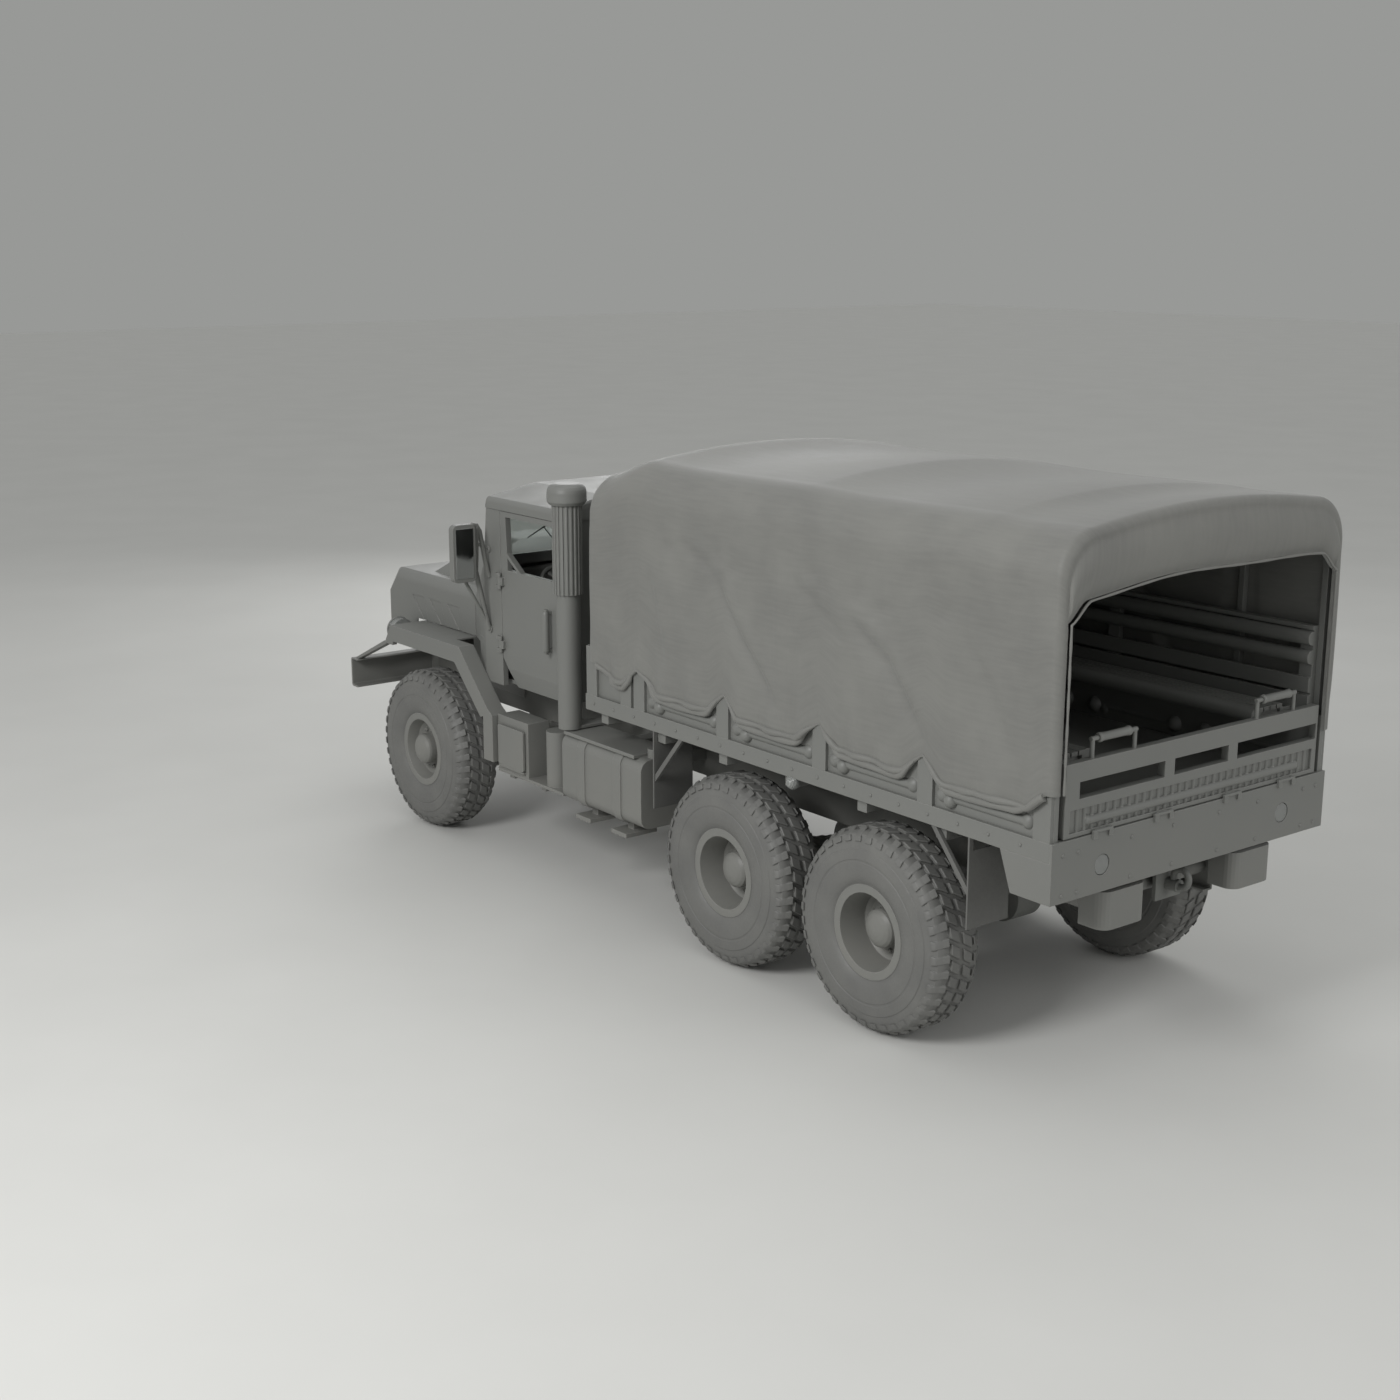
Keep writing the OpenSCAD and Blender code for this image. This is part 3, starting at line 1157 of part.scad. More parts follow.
// Bows and canvas: one end outline serves both, and the cover is a shell open at the rear
canvas_hw = half_width + 3 + canvas_t;
canvas_front_x = bed_front_x + 20;
canvas_rear_x = gate_axis_x - 5;
front_drop = 130;
front_r = 160;
plan_r = 200;
bow_x = [canvas_front_x - canvas_t - plan_r - bow_t / 2 - move_gap, bed_at(0.1414), bed_at(0.4959), bed_at(0.8505),
         bed_rear_x + 60];
front_slope_x = bow_x[1] + bow_t / 2;
function cover_half(inset, z0, drop) = let (
    hw = canvas_hw - inset, r = canvas_corner_r - inset, top = canvas_top_z - inset - drop, flat = hw - r) concat(
    [[hw, z0]], arc([flat, top - canvas_fall - r], r, 0, 90, 6),
    [for (i = [1:6]) let (y = flat * (1 - i / 6)) [y, top - canvas_fall * pow(y / flat, 2)]]);
function cover_outline(inset, z0, drop = 0) = let (half = cover_half(inset, z0, drop))
    concat(half, flip([for (p = half) if (p[0] > 0.01) [-p[0], p[1]]]));
module cover_form(inset, z0) {
    front = canvas_front_x - inset;
    high = canvas_top_z - inset;
    intersection() {
        along_x(canvas_rear_x + inset, front) polygon(cover_outline(inset, z0));
        along_y(-canvas_hw - 1, canvas_hw + 1) polygon(concat(
            [[canvas_rear_x - 1, z0 - 1], [front, z0 - 1]],
            arc([front - front_r, high - front_drop - front_r], front_r, 0, 75, 5),
            [[front_slope_x, high + 1], [canvas_rear_x - 1, high + 1]]));
        translate([0, 0, z0 - 1]) linear_extrude(high + 2 - z0) polygon(concat(
            arc([front - plan_r, canvas_hw - inset - plan_r], plan_r, 0, 90, 5),
            [[canvas_rear_x - 1, canvas_hw - inset], [canvas_rear_x - 1, -canvas_hw + inset]],
            arc([front - plan_r, -canvas_hw + inset + plan_r], plan_r, 270, 360, 5)));
    }
}
module canvas_cover() {
    color(cloth) difference() {
        cover_form(0, hem_z);
        cover_form(canvas_t, hem_z - 10);
        block(canvas_rear_x - 1, canvas_rear_x + canvas_t + 1, -canvas_hw + 72, canvas_hw - 72, hem_z - 1,
              valance_z);
        block(bed_front_x - 190, canvas_front_x + 1, -canvas_hw - 1, canvas_hw + 1, hem_z - 1, side_top + move_gap);
        block(canvas_rear_x - 1, bed_rear_x + 30, -canvas_hw - 1, canvas_hw + 1, hem_z - 1, hem_z + 100);
        for (i = [2:len(post_at) - 2])
            translate([post_x_at(i), 0, hem_z - 60]) rotate([90, 0, 0]) cylinder(r = 150, h = 3000, center = true);
    }
}
module bows() {
    outer = canvas_t + seat_gap;
    color(dark) for (i = [0:len(bow_x) - 1]) along_x(bow_x[i] - bow_t / 2, bow_x[i] + bow_t / 2) difference() {
        polygon(cover_outline(outer, side_top, i == 0 ? front_drop : 0));
        polygon(cover_outline(outer + bow_t, side_top - 1, i == 0 ? front_drop : 0));
    }
}

// Mudflaps, rear guards, towing hook and lamps
flap_t = 12;
flap_w = 325;
flap_y0 = half_width - rail_wall + move_gap;
flap_x = [mid_axle_x + tyre_r + 150, rear_axle_x - tyre_r - 150];
module mudflaps() {
    color(rubber) both_sides() for (i = [0, 1]) {
        x = flap_x[i];
        turn = i == 0 ? 1 : -1;
        block(x - flap_t / 2, x + flap_t / 2, half_width - flap_w, half_width, tyre_r + 240, bed_z - side_rail_h - 80);
        block(x - flap_t / 2, x + flap_t / 2, flap_y0, half_width, tyre_r + 240, bed_z - side_rail_h);
        along_y(flap_y0, half_width - 8) polygon([
            [x, tyre_r + 420], [x, tyre_r + 470], [x - turn * 270, bed_z - side_rail_h],
            [x - turn * 310, bed_z - side_rail_h]]);
    }
}
guard_y = [380, 740];
guard_z = [930, rail_top];
module bumperettes() {
    color(paint) both_sides() difference() {
        translate([0, 0, guard_z[0]]) linear_extrude(guard_z[1] - guard_z[0]) polygon(concat(
            [[rail_rear_x, guard_y[0]], [rail_rear_x, guard_y[1]]],
            arc([sill_x + 75, guard_y[1] - 70], 70, 90, 180, 5), arc([sill_x + 75, guard_y[0] + 70], 70, 180, 270, 5)));
        block(sill_x + 40, rail_rear_x - 15, guard_y[0] + 25, guard_y[1] - 25, guard_z[0] - 1, guard_z[1] - 20);
    }
}
hook_z = cross_z;
module pintle_hook() {
    color(dark) {
        rod_x(38, sill_x + 90, cross_x[4] - cross_r - seat_gap, 0, hook_z);
        block(rail_rear_x - 20, rail_rear_x + 5, -110, 110, hook_z - 90, hook_z + 90);
        translate([sill_x + 80, 0, hook_z + 50]) rotate([90, 0, 0])
            rotate_extrude($fn = 48) translate([52, 0]) circle(r = 20, $fn = 20);
    }
}
marker_x = bogie_x + 50;
module lamps() {
    color("#7d6a66") {
        both_sides() {
            rod_x(pocket_r - 4, sill_x + 3, bed_rear_x + 30, pocket_y, pocket_z);
            rod_x(pocket_r + 14, bed_rear_x, bed_rear_x + 30, pocket_y, pocket_z);
            block(marker_x - 40, marker_x + 40, half_width - 34, half_width - 4, bed_z - side_rail_h - 50,
                  bed_z - side_rail_h);
        }
    }
}

chassis_frame();
front_bumper();
engine_block();
radiator();
front_axle();
rear_axles();
leaf_springs();
driveline();
fenders();
headlamps();
cab_floor();
cab_cowl();
cab_back();
cab_roof();
cab_glass();
cab_seats();
dashboard();
mirrors();
intake_stack();
exhaust_stack();
toolbox();
battery_box();
air_tanks();
fuel_tank();
bed_floor();
bed_sides();
bed_headboard();
rear_sill();
side_racks();
bows();
canvas_cover();
mudflaps();
bumperettes();
pintle_hook();
lamps();
hood();
grille();
door_left();
door_right();
steering_wheel();
knuckle_left();
knuckle_right();
tie_rod();
tailgate();
bench_left();
bench_right();
toolbox_door();
rim_front_left();
rim_front_right();
rim_mid_left();
rim_mid_right();
rim_rear_left();
rim_rear_right();
tyre_front_left();
tyre_front_right();
tyre_mid_left();
tyre_mid_right();
tyre_rear_left();
tyre_rear_right();
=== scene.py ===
# %% [markdown]
# # A six-wheel cargo truck under a canvas cover
# The CAD model is loaded as a fixed frame in metres: rails, axles, cab, hood, load bed and wheels are already in
# their places. This lesson dresses that frame: it lights it, paints it, and models what solids don't show well,
# which is the cloth over the hoops, the tread of the tyres, the padded seats and the small fittings.

# %% Load the frame
import math
import bpy
from mathutils import Matrix, Vector


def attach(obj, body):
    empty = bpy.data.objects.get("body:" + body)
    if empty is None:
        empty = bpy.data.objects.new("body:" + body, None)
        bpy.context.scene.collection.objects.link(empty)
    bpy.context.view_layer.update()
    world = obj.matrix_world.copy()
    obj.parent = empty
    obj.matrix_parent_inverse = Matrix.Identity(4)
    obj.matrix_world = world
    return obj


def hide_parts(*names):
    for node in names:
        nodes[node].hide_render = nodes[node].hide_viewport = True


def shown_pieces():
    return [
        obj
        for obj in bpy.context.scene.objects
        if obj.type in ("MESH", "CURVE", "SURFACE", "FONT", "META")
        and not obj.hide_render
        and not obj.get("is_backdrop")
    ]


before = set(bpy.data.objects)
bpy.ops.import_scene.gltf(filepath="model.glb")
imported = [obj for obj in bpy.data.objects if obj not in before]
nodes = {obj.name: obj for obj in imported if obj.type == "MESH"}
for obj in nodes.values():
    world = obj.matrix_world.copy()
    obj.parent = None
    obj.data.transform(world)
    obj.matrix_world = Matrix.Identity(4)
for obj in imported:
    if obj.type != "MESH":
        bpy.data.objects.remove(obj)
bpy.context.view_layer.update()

# %% [markdown]
# ## Stage, light and camera
# A pale sheet of floor carries the truck's shadow, and large soft lamps stand round it as in a studio for
# vehicles. One big lamp by the camera's left shoulder draws the side of the cover, a weaker one fills the tail, and
# one overhead gives the roof and hood their sheen. The camera stands behind the truck's left rear corner, a little
# above a person's height, with a normal lens.

# %% Floor and lamps
def colour(hex_value, alpha=1.0):
    """Turns an sRGB hex value into the linear colour that shaders and lamps expect."""
    parts = [int(hex_value[i:i + 2], 16) / 255 for i in (1, 3, 5)]
    return [c / 12.92 if c <= 0.04045 else ((c + 0.055) / 1.055) ** 2.4 for c in parts] + [alpha]


bpy.ops.object.select_all(action="DESELECT")
bpy.ops.mesh.primitive_plane_add(size=160)
floor = bpy.context.active_object
floor.name = floor.data.name = "studio_floor"
floor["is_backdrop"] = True


def soft_lamp(name, place, aim, size, power):
    bpy.ops.object.light_add(type="AREA", location=place)
    lamp = bpy.context.active_object
    lamp.name = name
    lamp.data.shape, lamp.data.size, lamp.data.energy = "DISK", size, power
    lamp.rotation_euler = (Vector(aim) - Vector(place)).to_track_quat("-Z", "Y").to_euler()


soft_lamp("side_lamp", (-3.5, 12.0, 8.5), (-0.8, 0.8, 1.6), 5.0, 1000)
soft_lamp("tail_lamp", (-13.0, -1.5, 6.0), (-2.5, 0.0, 1.5), 6.0, 230)
soft_lamp("top_lamp", (1.0, -2.0, 13.0), (0.0, 0.0, 1.5), 9.0, 190)
soft_lamp("nose_lamp", (11.0, -7.0, 6.0), (2.0, 0.0, 1.5), 7.0, 280)

world = bpy.data.worlds.new("studio_air")
bpy.context.scene.world = world
world.use_nodes = True
air = world.node_tree.nodes
air["Background"].inputs["Color"].default_value = colour("#d6d7d6")
air["Background"].inputs["Strength"].default_value = 0.72
backdrop = air.new("ShaderNodeBackground")
backdrop.inputs["Color"].default_value = colour("#989997")
seen, blend = air.new("ShaderNodeLightPath"), air.new("ShaderNodeMixShader")
wires = world.node_tree.links
wires.new(seen.outputs["Is Camera Ray"], blend.inputs[0])
wires.new(air["Background"].outputs[0], blend.inputs[1])
wires.new(backdrop.outputs[0], blend.inputs[2])
wires.new(blend.outputs[0], air["World Output"].inputs["Surface"])

# %% Camera at the picture's angle
bpy.ops.object.camera_add(location=(-10.46768, 8.57972, 4.66201))
camera = bpy.context.active_object
camera.name = "studio_camera"
camera.data.lens, camera.data.sensor_width = 50, 36
azimuth, elevation = math.radians(232.4135), math.radians(13.6493)
camera.rotation_euler = (math.pi / 2 - elevation, 0, azimuth - math.pi * 2)
bpy.context.scene.camera = camera
bpy.context.scene.view_settings.view_transform = "Standard"
print("camera", [round(math.degrees(a), 2) for a in camera.rotation_euler])

# %% [markdown]
# ## Working by hand, in code
# Every piece starts as a primitive that is shaped in edit mode. With no window there is no mouse, so faces and
# edges are picked by a test on their place or direction. Small helpers do what the hand does: name the piece that
# was just added, pick part of it, apply a modifier, make a twin with its own mesh, join pieces and smooth them.

# %% Helpers for shaping
def added(name):
    """Names the primitive that was just added."""
    piece = bpy.context.active_object
    piece.name = piece.data.name = name
    return piece


def pick(piece, test, kind="FACE"):
    """Opens edit mode on a piece with only the parts selected that pass the test."""
    bpy.context.view_layer.objects.active = piece
    bpy.ops.object.mode_set(mode="EDIT")
    bpy.ops.mesh.select_mode(type=kind)
    bpy.ops.mesh.select_all(action="DESELECT")
    bpy.ops.object.mode_set(mode="OBJECT")
    parts = {"FACE": piece.data.polygons, "EDGE": piece.data.edges, "VERT": piece.data.vertices}[kind]
    for part in parts:
        part.select = bool(test(part))
    bpy.ops.object.mode_set(mode="EDIT")


def done():
    bpy.ops.object.mode_set(mode="OBJECT")


def finish_with(piece, kind, **settings):
    """Adds a modifier with its settings and applies it."""
    bpy.context.view_layer.objects.active = piece
    step = piece.modifiers.new(kind.lower(), kind)
    for key, value in settings.items():
        setattr(step, key, value)
    bpy.ops.object.modifier_apply(modifier=step.name)


def settle(piece):
    """Puts a piece's place, turn and scale into its mesh."""
    bpy.ops.object.select_all(action="DESELECT")
    piece.select_set(True)
    bpy.context.view_layer.objects.active = piece
    bpy.ops.object.transform_apply(location=True, rotation=True, scale=True)


def twin(piece, name, place=Matrix.Identity(4)):
    """A copy with its own mesh, moved by a matrix; a mirrored one has its faces turned back outwards."""
    copy = piece.copy()
    copy.data = piece.data.copy()
    copy.name = copy.data.name = name
    bpy.context.scene.collection.objects.link(copy)
    copy.data.transform(place)
    if place.determinant() < 0:
        copy.data.flip_normals()
    return copy


def joined(name, pieces):
    """Joins pieces into the first one."""
    bpy.ops.object.select_all(action="DESELECT")
    for piece in pieces:
        piece.select_set(True)
    bpy.context.view_layer.objects.active = pieces[0]
    if len(pieces) > 1:
        bpy.ops.object.join()
    return added(name)


def smooth(piece, degrees=40):
    bpy.ops.object.select_all(action="DESELECT")
    piece.select_set(True)
    bpy.context.view_layer.objects.active = piece
    bpy.ops.object.shade_smooth_by_angle(angle=math.radians(degrees))


RIGHT = Matrix.Scale(-1, 4, (0, 1, 0))


def moved(x=0.0, y=0.0, z=0.0):
    return Matrix.Translation((x, y, z))


print("helpers ready")

# %% [markdown]
# ## Finishes
# The truck wears one dull grey from roof to wheels, as a vehicle does that was sprayed all over. What tells the
# parts apart is the surface: enamel on steel, dry rubber, woven cotton. Each finish is built from nodes on Object
# coordinates, so one metre of pattern is one metre of truck. One helper adds a node, sets its options and links it.

# %% One helper for nodes
def node(mat, kind, options={}, sockets={}):
    """Adds one node; a socket takes a number, a colour or another node's output."""
    made = mat.node_tree.nodes.new(kind)
    for key, value in options.items():
        setattr(made, key, value)
    for key, value in sockets.items():
        if isinstance(value, bpy.types.NodeSocket):
            mat.node_tree.links.new(value, made.inputs[key])
        else:
            made.inputs[key].default_value = value
    return made


def new_finish(name, **fixed):
    """A fresh material with a Principled shader whose plain sockets are set by name."""
    mat = bpy.data.materials.new(name)
    mat.use_nodes = True
    shader = mat.node_tree.nodes["Principled BSDF"]
    for key, value in fixed.items():
        shader.inputs[key.replace("_", " ")].default_value = value
    return mat, shader


def link(mat, output, socket):
    mat.node_tree.links.new(output, socket)


# %% [markdown]
# ### Sprayed alkyd enamel
# Military paint is a flat alkyd enamel that is sprayed on: it has a faint orange peel, fades in patches of half a
# metre, is rubbed paler along edges, and gathers dust low down. The Bevel node rounds every sharp CAD edge a few
# millimetres in the shading, so that edges catch a line of light as pressed steel does. Where the rounded normal
# leaves the flat one, there is an edge, and that difference also drives the wear.

# %% Enamel
def enamel(name, base, worn, roughness, edge_mm):
    mat, shader = new_finish(name, IOR=1.5)
    place = node(mat, "ShaderNodeTexCoord").outputs["Object"]
    fade = node(mat, "ShaderNodeTexNoise", {}, {"Vector": place, "Scale": 1 / 0.55, "Detail": 5.0, "Roughness": 0.6})
    spray = node(mat, "ShaderNodeTexNoise", {}, {"Vector": place, "Scale": 1 / 0.012, "Detail": 2.0})
    rounded = node(mat, "ShaderNodeBevel", {"samples": 4}, {"Radius": edge_mm / 1000})
    flat = node(mat, "ShaderNodeNewGeometry").outputs["Normal"]
    turned = node(mat, "ShaderNodeVectorMath", {"operation": "DOT_PRODUCT"}, {0: rounded.outputs["Normal"], 1: flat})
    edge = node(mat, "ShaderNodeMapRange", {}, {"Value": turned.outputs["Value"], 1: 0.99, 2: 0.85, 3: 0.0, 4: 1.0})
    chips = node(mat, "ShaderNodeTexNoise", {}, {"Vector": place, "Scale": 1 / 0.07, "Detail": 4.0})
    rubbed = node(mat, "ShaderNodeMath", {"operation": "MULTIPLY"},
                  {0: edge.outputs["Result"], 1: chips.outputs["Fac"]})
    height = node(mat, "ShaderNodeSeparateXYZ", {}, {"Vector": place}).outputs["Z"]
    low = node(mat, "ShaderNodeMapRange", {}, {"Value": height, 1: 0.35, 2: 1.5, 3: 0.5, 4: 0.0})
    dust = node(mat, "ShaderNodeMath", {"operation": "MULTIPLY"}, {0: low.outputs["Result"], 1: fade.outputs["Fac"]})
    tone = node(mat, "ShaderNodeMapRange", {}, {"Value": fade.outputs["Fac"], 1: 0.3, 2: 0.7, 3: 0.0, 4: 0.3})
    faded = node(mat, "ShaderNodeMix", {"data_type": "RGBA"},
                 {0: tone.outputs["Result"], 6: colour(base), 7: colour(worn)})
    dusty = node(mat, "ShaderNodeMix", {"data_type": "RGBA"},
                 {0: dust.outputs["Value"], 6: faded.outputs[2], 7: colour("#8b8881")})
    edged = node(mat, "ShaderNodeMix", {"data_type": "RGBA"},
                 {0: rubbed.outputs["Value"], 6: dusty.outputs[2], 7: colour("#a3a29e")})
    gloss = node(mat, "ShaderNodeMapRange", {},
                 {"Value": fade.outputs["Fac"], 1: 0.3, 2: 0.7, 3: roughness - 0.06, 4: roughness + 0.1})
    peel = node(mat, "ShaderNodeBump", {},
                {"Strength": 0.05, "Distance": 0.002, "Height": spray.outputs["Fac"],
                 "Normal": rounded.outputs["Normal"]})
    link(mat, edged.outputs[2], shader.inputs["Base Color"])
    link(mat, gloss.outputs["Result"], shader.inputs["Roughness"])
    link(mat, peel.outputs["Normal"], shader.inputs["Normal"])
    return mat


body_enamel = enamel("grey_alkyd_enamel", "#70716e", "#7b7b77", 0.46, 7.0)
chassis_enamel = enamel("chassis_enamel", "#686966", "#73736f", 0.52, 5.0)
print("enamels", body_enamel.name, chassis_enamel.name)

# %% [markdown]
# ### Cotton duck, rubber, vinyl and glass
# The cover is waterproofed cotton duck: a plain weave with a waxy, matt face. Its threads are under a millimetre
# thick and can't show at this distance, so the weave is drawn at eight millimetres. It follows the cloth's own UV
# map, which is laid out in metres. Tyre rubber is nearly matt with a grey bloom, mudflaps are smoother, and seats
# are grained vinyl.

# %% Cotton duck
canvas_duck, shader = new_finish("waxed_cotton_duck", IOR=1.48, Sheen_Weight=0.12, Sheen_Roughness=0.5)
cloth_map = node(canvas_duck, "ShaderNodeTexCoord").outputs["UV"]
warp = node(canvas_duck, "ShaderNodeTexWave", {"bands_direction": "X"},
            {"Vector": cloth_map, "Scale": 0.31 / 0.008, "Distortion": 0.6})
weft = node(canvas_duck, "ShaderNodeTexWave", {"bands_direction": "Y"},
            {"Vector": cloth_map, "Scale": 0.31 / 0.008, "Distortion": 0.6})
weave = node(canvas_duck, "ShaderNodeMath", {"operation": "MULTIPLY"}, {0: warp.outputs["Fac"], 1: weft.outputs["Fac"]})
long_slub = node(canvas_duck, "ShaderNodeMapping", {}, {"Vector": cloth_map, "Scale": (1.2, 14.0, 1.0)})
slub = node(canvas_duck, "ShaderNodeTexNoise", {}, {"Vector": long_slub.outputs["Vector"], "Scale": 3.0, "Detail": 5.0})
stain = node(canvas_duck, "ShaderNodeTexNoise", {},
             {"Vector": cloth_map, "Scale": 1 / 0.7, "Detail": 6.0, "Roughness": 0.62})
patchy = node(canvas_duck, "ShaderNodeMapRange", {}, {"Value": stain.outputs["Fac"], 1: 0.32, 2: 0.68, 3: 0.0, 4: 1.0})
waxed = node(canvas_duck, "ShaderNodeMix", {"data_type": "RGBA"},
             {0: patchy.outputs["Result"], 6: colour("#6b6b68"), 7: colour("#777773")})
streak = node(canvas_duck, "ShaderNodeMapRange", {}, {"Value": slub.outputs["Fac"], 1: 0.35, 2: 0.65, 3: 0.0, 4: 0.22})
threaded = node(canvas_duck, "ShaderNodeMix", {"data_type": "RGBA"},
                {0: streak.outputs["Result"], 6: waxed.outputs[2], 7: colour("#82827d")})
dull = node(canvas_duck, "ShaderNodeMapRange", {}, {"Value": stain.outputs["Fac"], 1: 0.3, 2: 0.7, 3: 0.52, 4: 0.68})
relief = node(canvas_duck, "ShaderNodeBump", {},
              {"Strength": 0.18, "Distance": 0.002, "Height": weave.outputs["Value"]})
link(canvas_duck, threaded.outputs[2], shader.inputs["Base Color"])
link(canvas_duck, dull.outputs["Result"], shader.inputs["Roughness"])
link(canvas_duck, relief.outputs["Normal"], shader.inputs["Normal"])
print("cloth", canvas_duck.name)


# %% Rubber and vinyl
def mottled(name, base, bloom, patch_mm, grain_mm, roughness, depth, edge_mm=4.0, **fixed):
    """A moulded surface: two close colours in patches, and a fine grain that lifts the surface."""
    mat, shader = new_finish(name, **fixed)
    place = node(mat, "ShaderNodeTexCoord").outputs["Object"]
    patch = node(mat, "ShaderNodeTexNoise", {}, {"Vector": place, "Scale": 1000 / patch_mm, "Detail": 5.0})
    grain = node(mat, "ShaderNodeTexNoise", {}, {"Vector": place, "Scale": 1000 / grain_mm, "Detail": 3.0})
    share = node(mat, "ShaderNodeMapRange", {}, {"Value": patch.outputs["Fac"], 1: 0.3, 2: 0.7, 3: 0.0, 4: 1.0})
    tint = node(mat, "ShaderNodeMix", {"data_type": "RGBA"},
                {0: share.outputs["Result"], 6: colour(base), 7: colour(bloom)})
    gloss = node(mat, "ShaderNodeMapRange", {},
                 {"Value": grain.outputs["Fac"], 1: 0.3, 2: 0.7, 3: roughness - 0.08, 4: roughness + 0.08})
    rounded = node(mat, "ShaderNodeBevel", {"samples": 4}, {"Radius": edge_mm / 1000})
    relief = node(mat, "ShaderNodeBump", {}, {"Strength": depth, "Distance": grain_mm / 4000,
                                             "Height": grain.outputs["Fac"], "Normal": rounded.outputs["Normal"]})
    link(mat, tint.outputs[2], shader.inputs["Base Color"])
    link(mat, gloss.outputs["Result"], shader.inputs["Roughness"])
    link(mat, relief.outputs["Normal"], shader.inputs["Normal"])
    return mat


# Vulcanised rubber is matt and greys as it ages; grain is drawn at 14 mm so that it shows.
tyre_rubber = mottled("aged_tyre_rubber", "#626260", "#6d6d6a", 260, 14, 0.55, 0.35, 5.0, IOR=1.52)
flap_rubber = mottled("sheet_rubber", "#5c5c5a", "#666663", 300, 20, 0.6, 0.2, 3.0, IOR=1.52)
# Coated fabric with an embossed leather grain of a few millimetres and a dull shine.
seat_vinyl = mottled("grained_vinyl", "#5f605d", "#696a66", 180, 5, 0.5, 0.4, 2.0, IOR=1.5)
# Spheroidal cast iron keeps the roughness of its sand mould under the paint.
cast_iron = mottled("painted_cast_iron", "#646562", "#70716d", 120, 9, 0.55, 0.5, 5.0, IOR=1.5)
print("moulded finishes", [m.name for m in (tyre_rubber, flap_rubber, seat_vinyl, cast_iron)])

# %% Glass, lenses and mirrors
# Laminated windshield glass: clear, a little green, with a film of road dust that dulls it in patches.
glass, shader = new_finish("laminated_glass", IOR=1.52, Transmission_Weight=0.92, Base_Color=colour("#c9d0cc"))
place = node(glass, "ShaderNodeTexCoord").outputs["Object"]
film = node(glass, "ShaderNodeTexNoise", {}, {"Vector": place, "Scale": 1 / 0.3, "Detail": 5.0})
haze = node(glass, "ShaderNodeMapRange", {}, {"Value": film.outputs["Fac"], 1: 0.35, 2: 0.75, 3: 0.02, 4: 0.16})
link(glass, haze.outputs["Result"], shader.inputs["Roughness"])

# Pressed lamp glass has upright flutes about 9 mm apart that spread the beam.
lamp_lens, shader = new_finish("fluted_lamp_glass", IOR=1.5, Transmission_Weight=0.35, Roughness=0.16)
place = node(lamp_lens, "ShaderNodeTexCoord").outputs["Object"]
flutes = node(lamp_lens, "ShaderNodeTexWave", {"bands_direction": "Y"}, {"Vector": place, "Scale": 0.31 / 0.009})
ribs = node(lamp_lens, "ShaderNodeBump", {}, {"Strength": 0.6, "Distance": 0.003, "Height": flutes.outputs["Fac"]})
# The colour follows the flutes: each crest is painted lighter and each groove darker, a painted highlight and painted
# shade along every flute.
tint = node(lamp_lens, "ShaderNodeMix", {"data_type": "RGBA"},
            {0: flutes.outputs["Fac"], 6: colour("#8d8f8d"), 7: colour("#a9aba8")})
link(lamp_lens, tint.outputs[2], shader.inputs["Base Color"])
link(lamp_lens, ribs.outputs["Normal"], shader.inputs["Normal"])

# Silvered mirror glass: bright, with a thin veil of dust that blurs it in places.
mirror_glass, shader = new_finish("silvered_glass", Metallic=1.0, Base_Color=colour("#c7c9c9"))
place = node(mirror_glass, "ShaderNodeTexCoord").outputs["Object"]
dusting = node(mirror_glass, "ShaderNodeTexNoise", {}, {"Vector": place, "Scale": 1 / 0.08, "Detail": 4.0})
veil = node(mirror_glass, "ShaderNodeMapRange", {}, {"Value": dusting.outputs["Fac"], 1: 0.3, 2: 0.7, 3: 0.04, 4: 0.18})
link(mirror_glass, veil.outputs["Result"], shader.inputs["Roughness"])
print("clear and bright finishes", glass.name, lamp_lens.name, mirror_glass.name)

# %% The floor
# Sealed concrete: pale, even, with clouds of tone a metre across that are only just seen.
concrete, shader = new_finish("sealed_concrete", IOR=1.45)
place = node(concrete, "ShaderNodeTexCoord").outputs["Object"]
cloud = node(concrete, "ShaderNodeTexNoise", {}, {"Vector": place, "Scale": 1 / 1.3, "Detail": 6.0})
pale = node(concrete, "ShaderNodeMix", {"data_type": "RGBA"},
            {0: cloud.outputs["Fac"], 6: colour("#c6c6c3"), 7: colour("#cfcfcc")})
link(concrete, pale.outputs[2], shader.inputs["Base Color"])
shader.inputs["Roughness"].default_value = 0.75
floor.data.materials.append(concrete)

# %% Dress the CAD nodes
dark_parts = ("chassis_frame", "leaf_springs", "driveline", "engine_block", "radiator", "air_tanks", "battery_box",
              "exhaust_stack", "tie_rod", "steering_wheel", "dashboard")
cast_parts = ("front_axle", "rear_axles", "knuckle_left", "knuckle_right", "pintle_hook")
for name, solid in nodes.items():
    coat = body_enamel
    if name in dark_parts:
        coat = chassis_enamel
    elif name in cast_parts:
        coat = cast_iron
    elif name == "cab_glass":
        coat = glass
    elif name in ("lamps", "headlamps"):
        coat = lamp_lens
    elif name == "mudflaps":
        coat = flap_rubber
    elif name.startswith("tyre"):
        coat = tyre_rubber
    solid.data.materials.clear()
    solid.data.materials.append(coat)
print("dressed", len(nodes), "nodes")


def dress(piece, coat, body):
    """Gives a new piece its finish and the body it rides on."""
    piece.data.materials.clear()
    piece.data.materials.append(coat)
    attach(piece, body)
    return piece
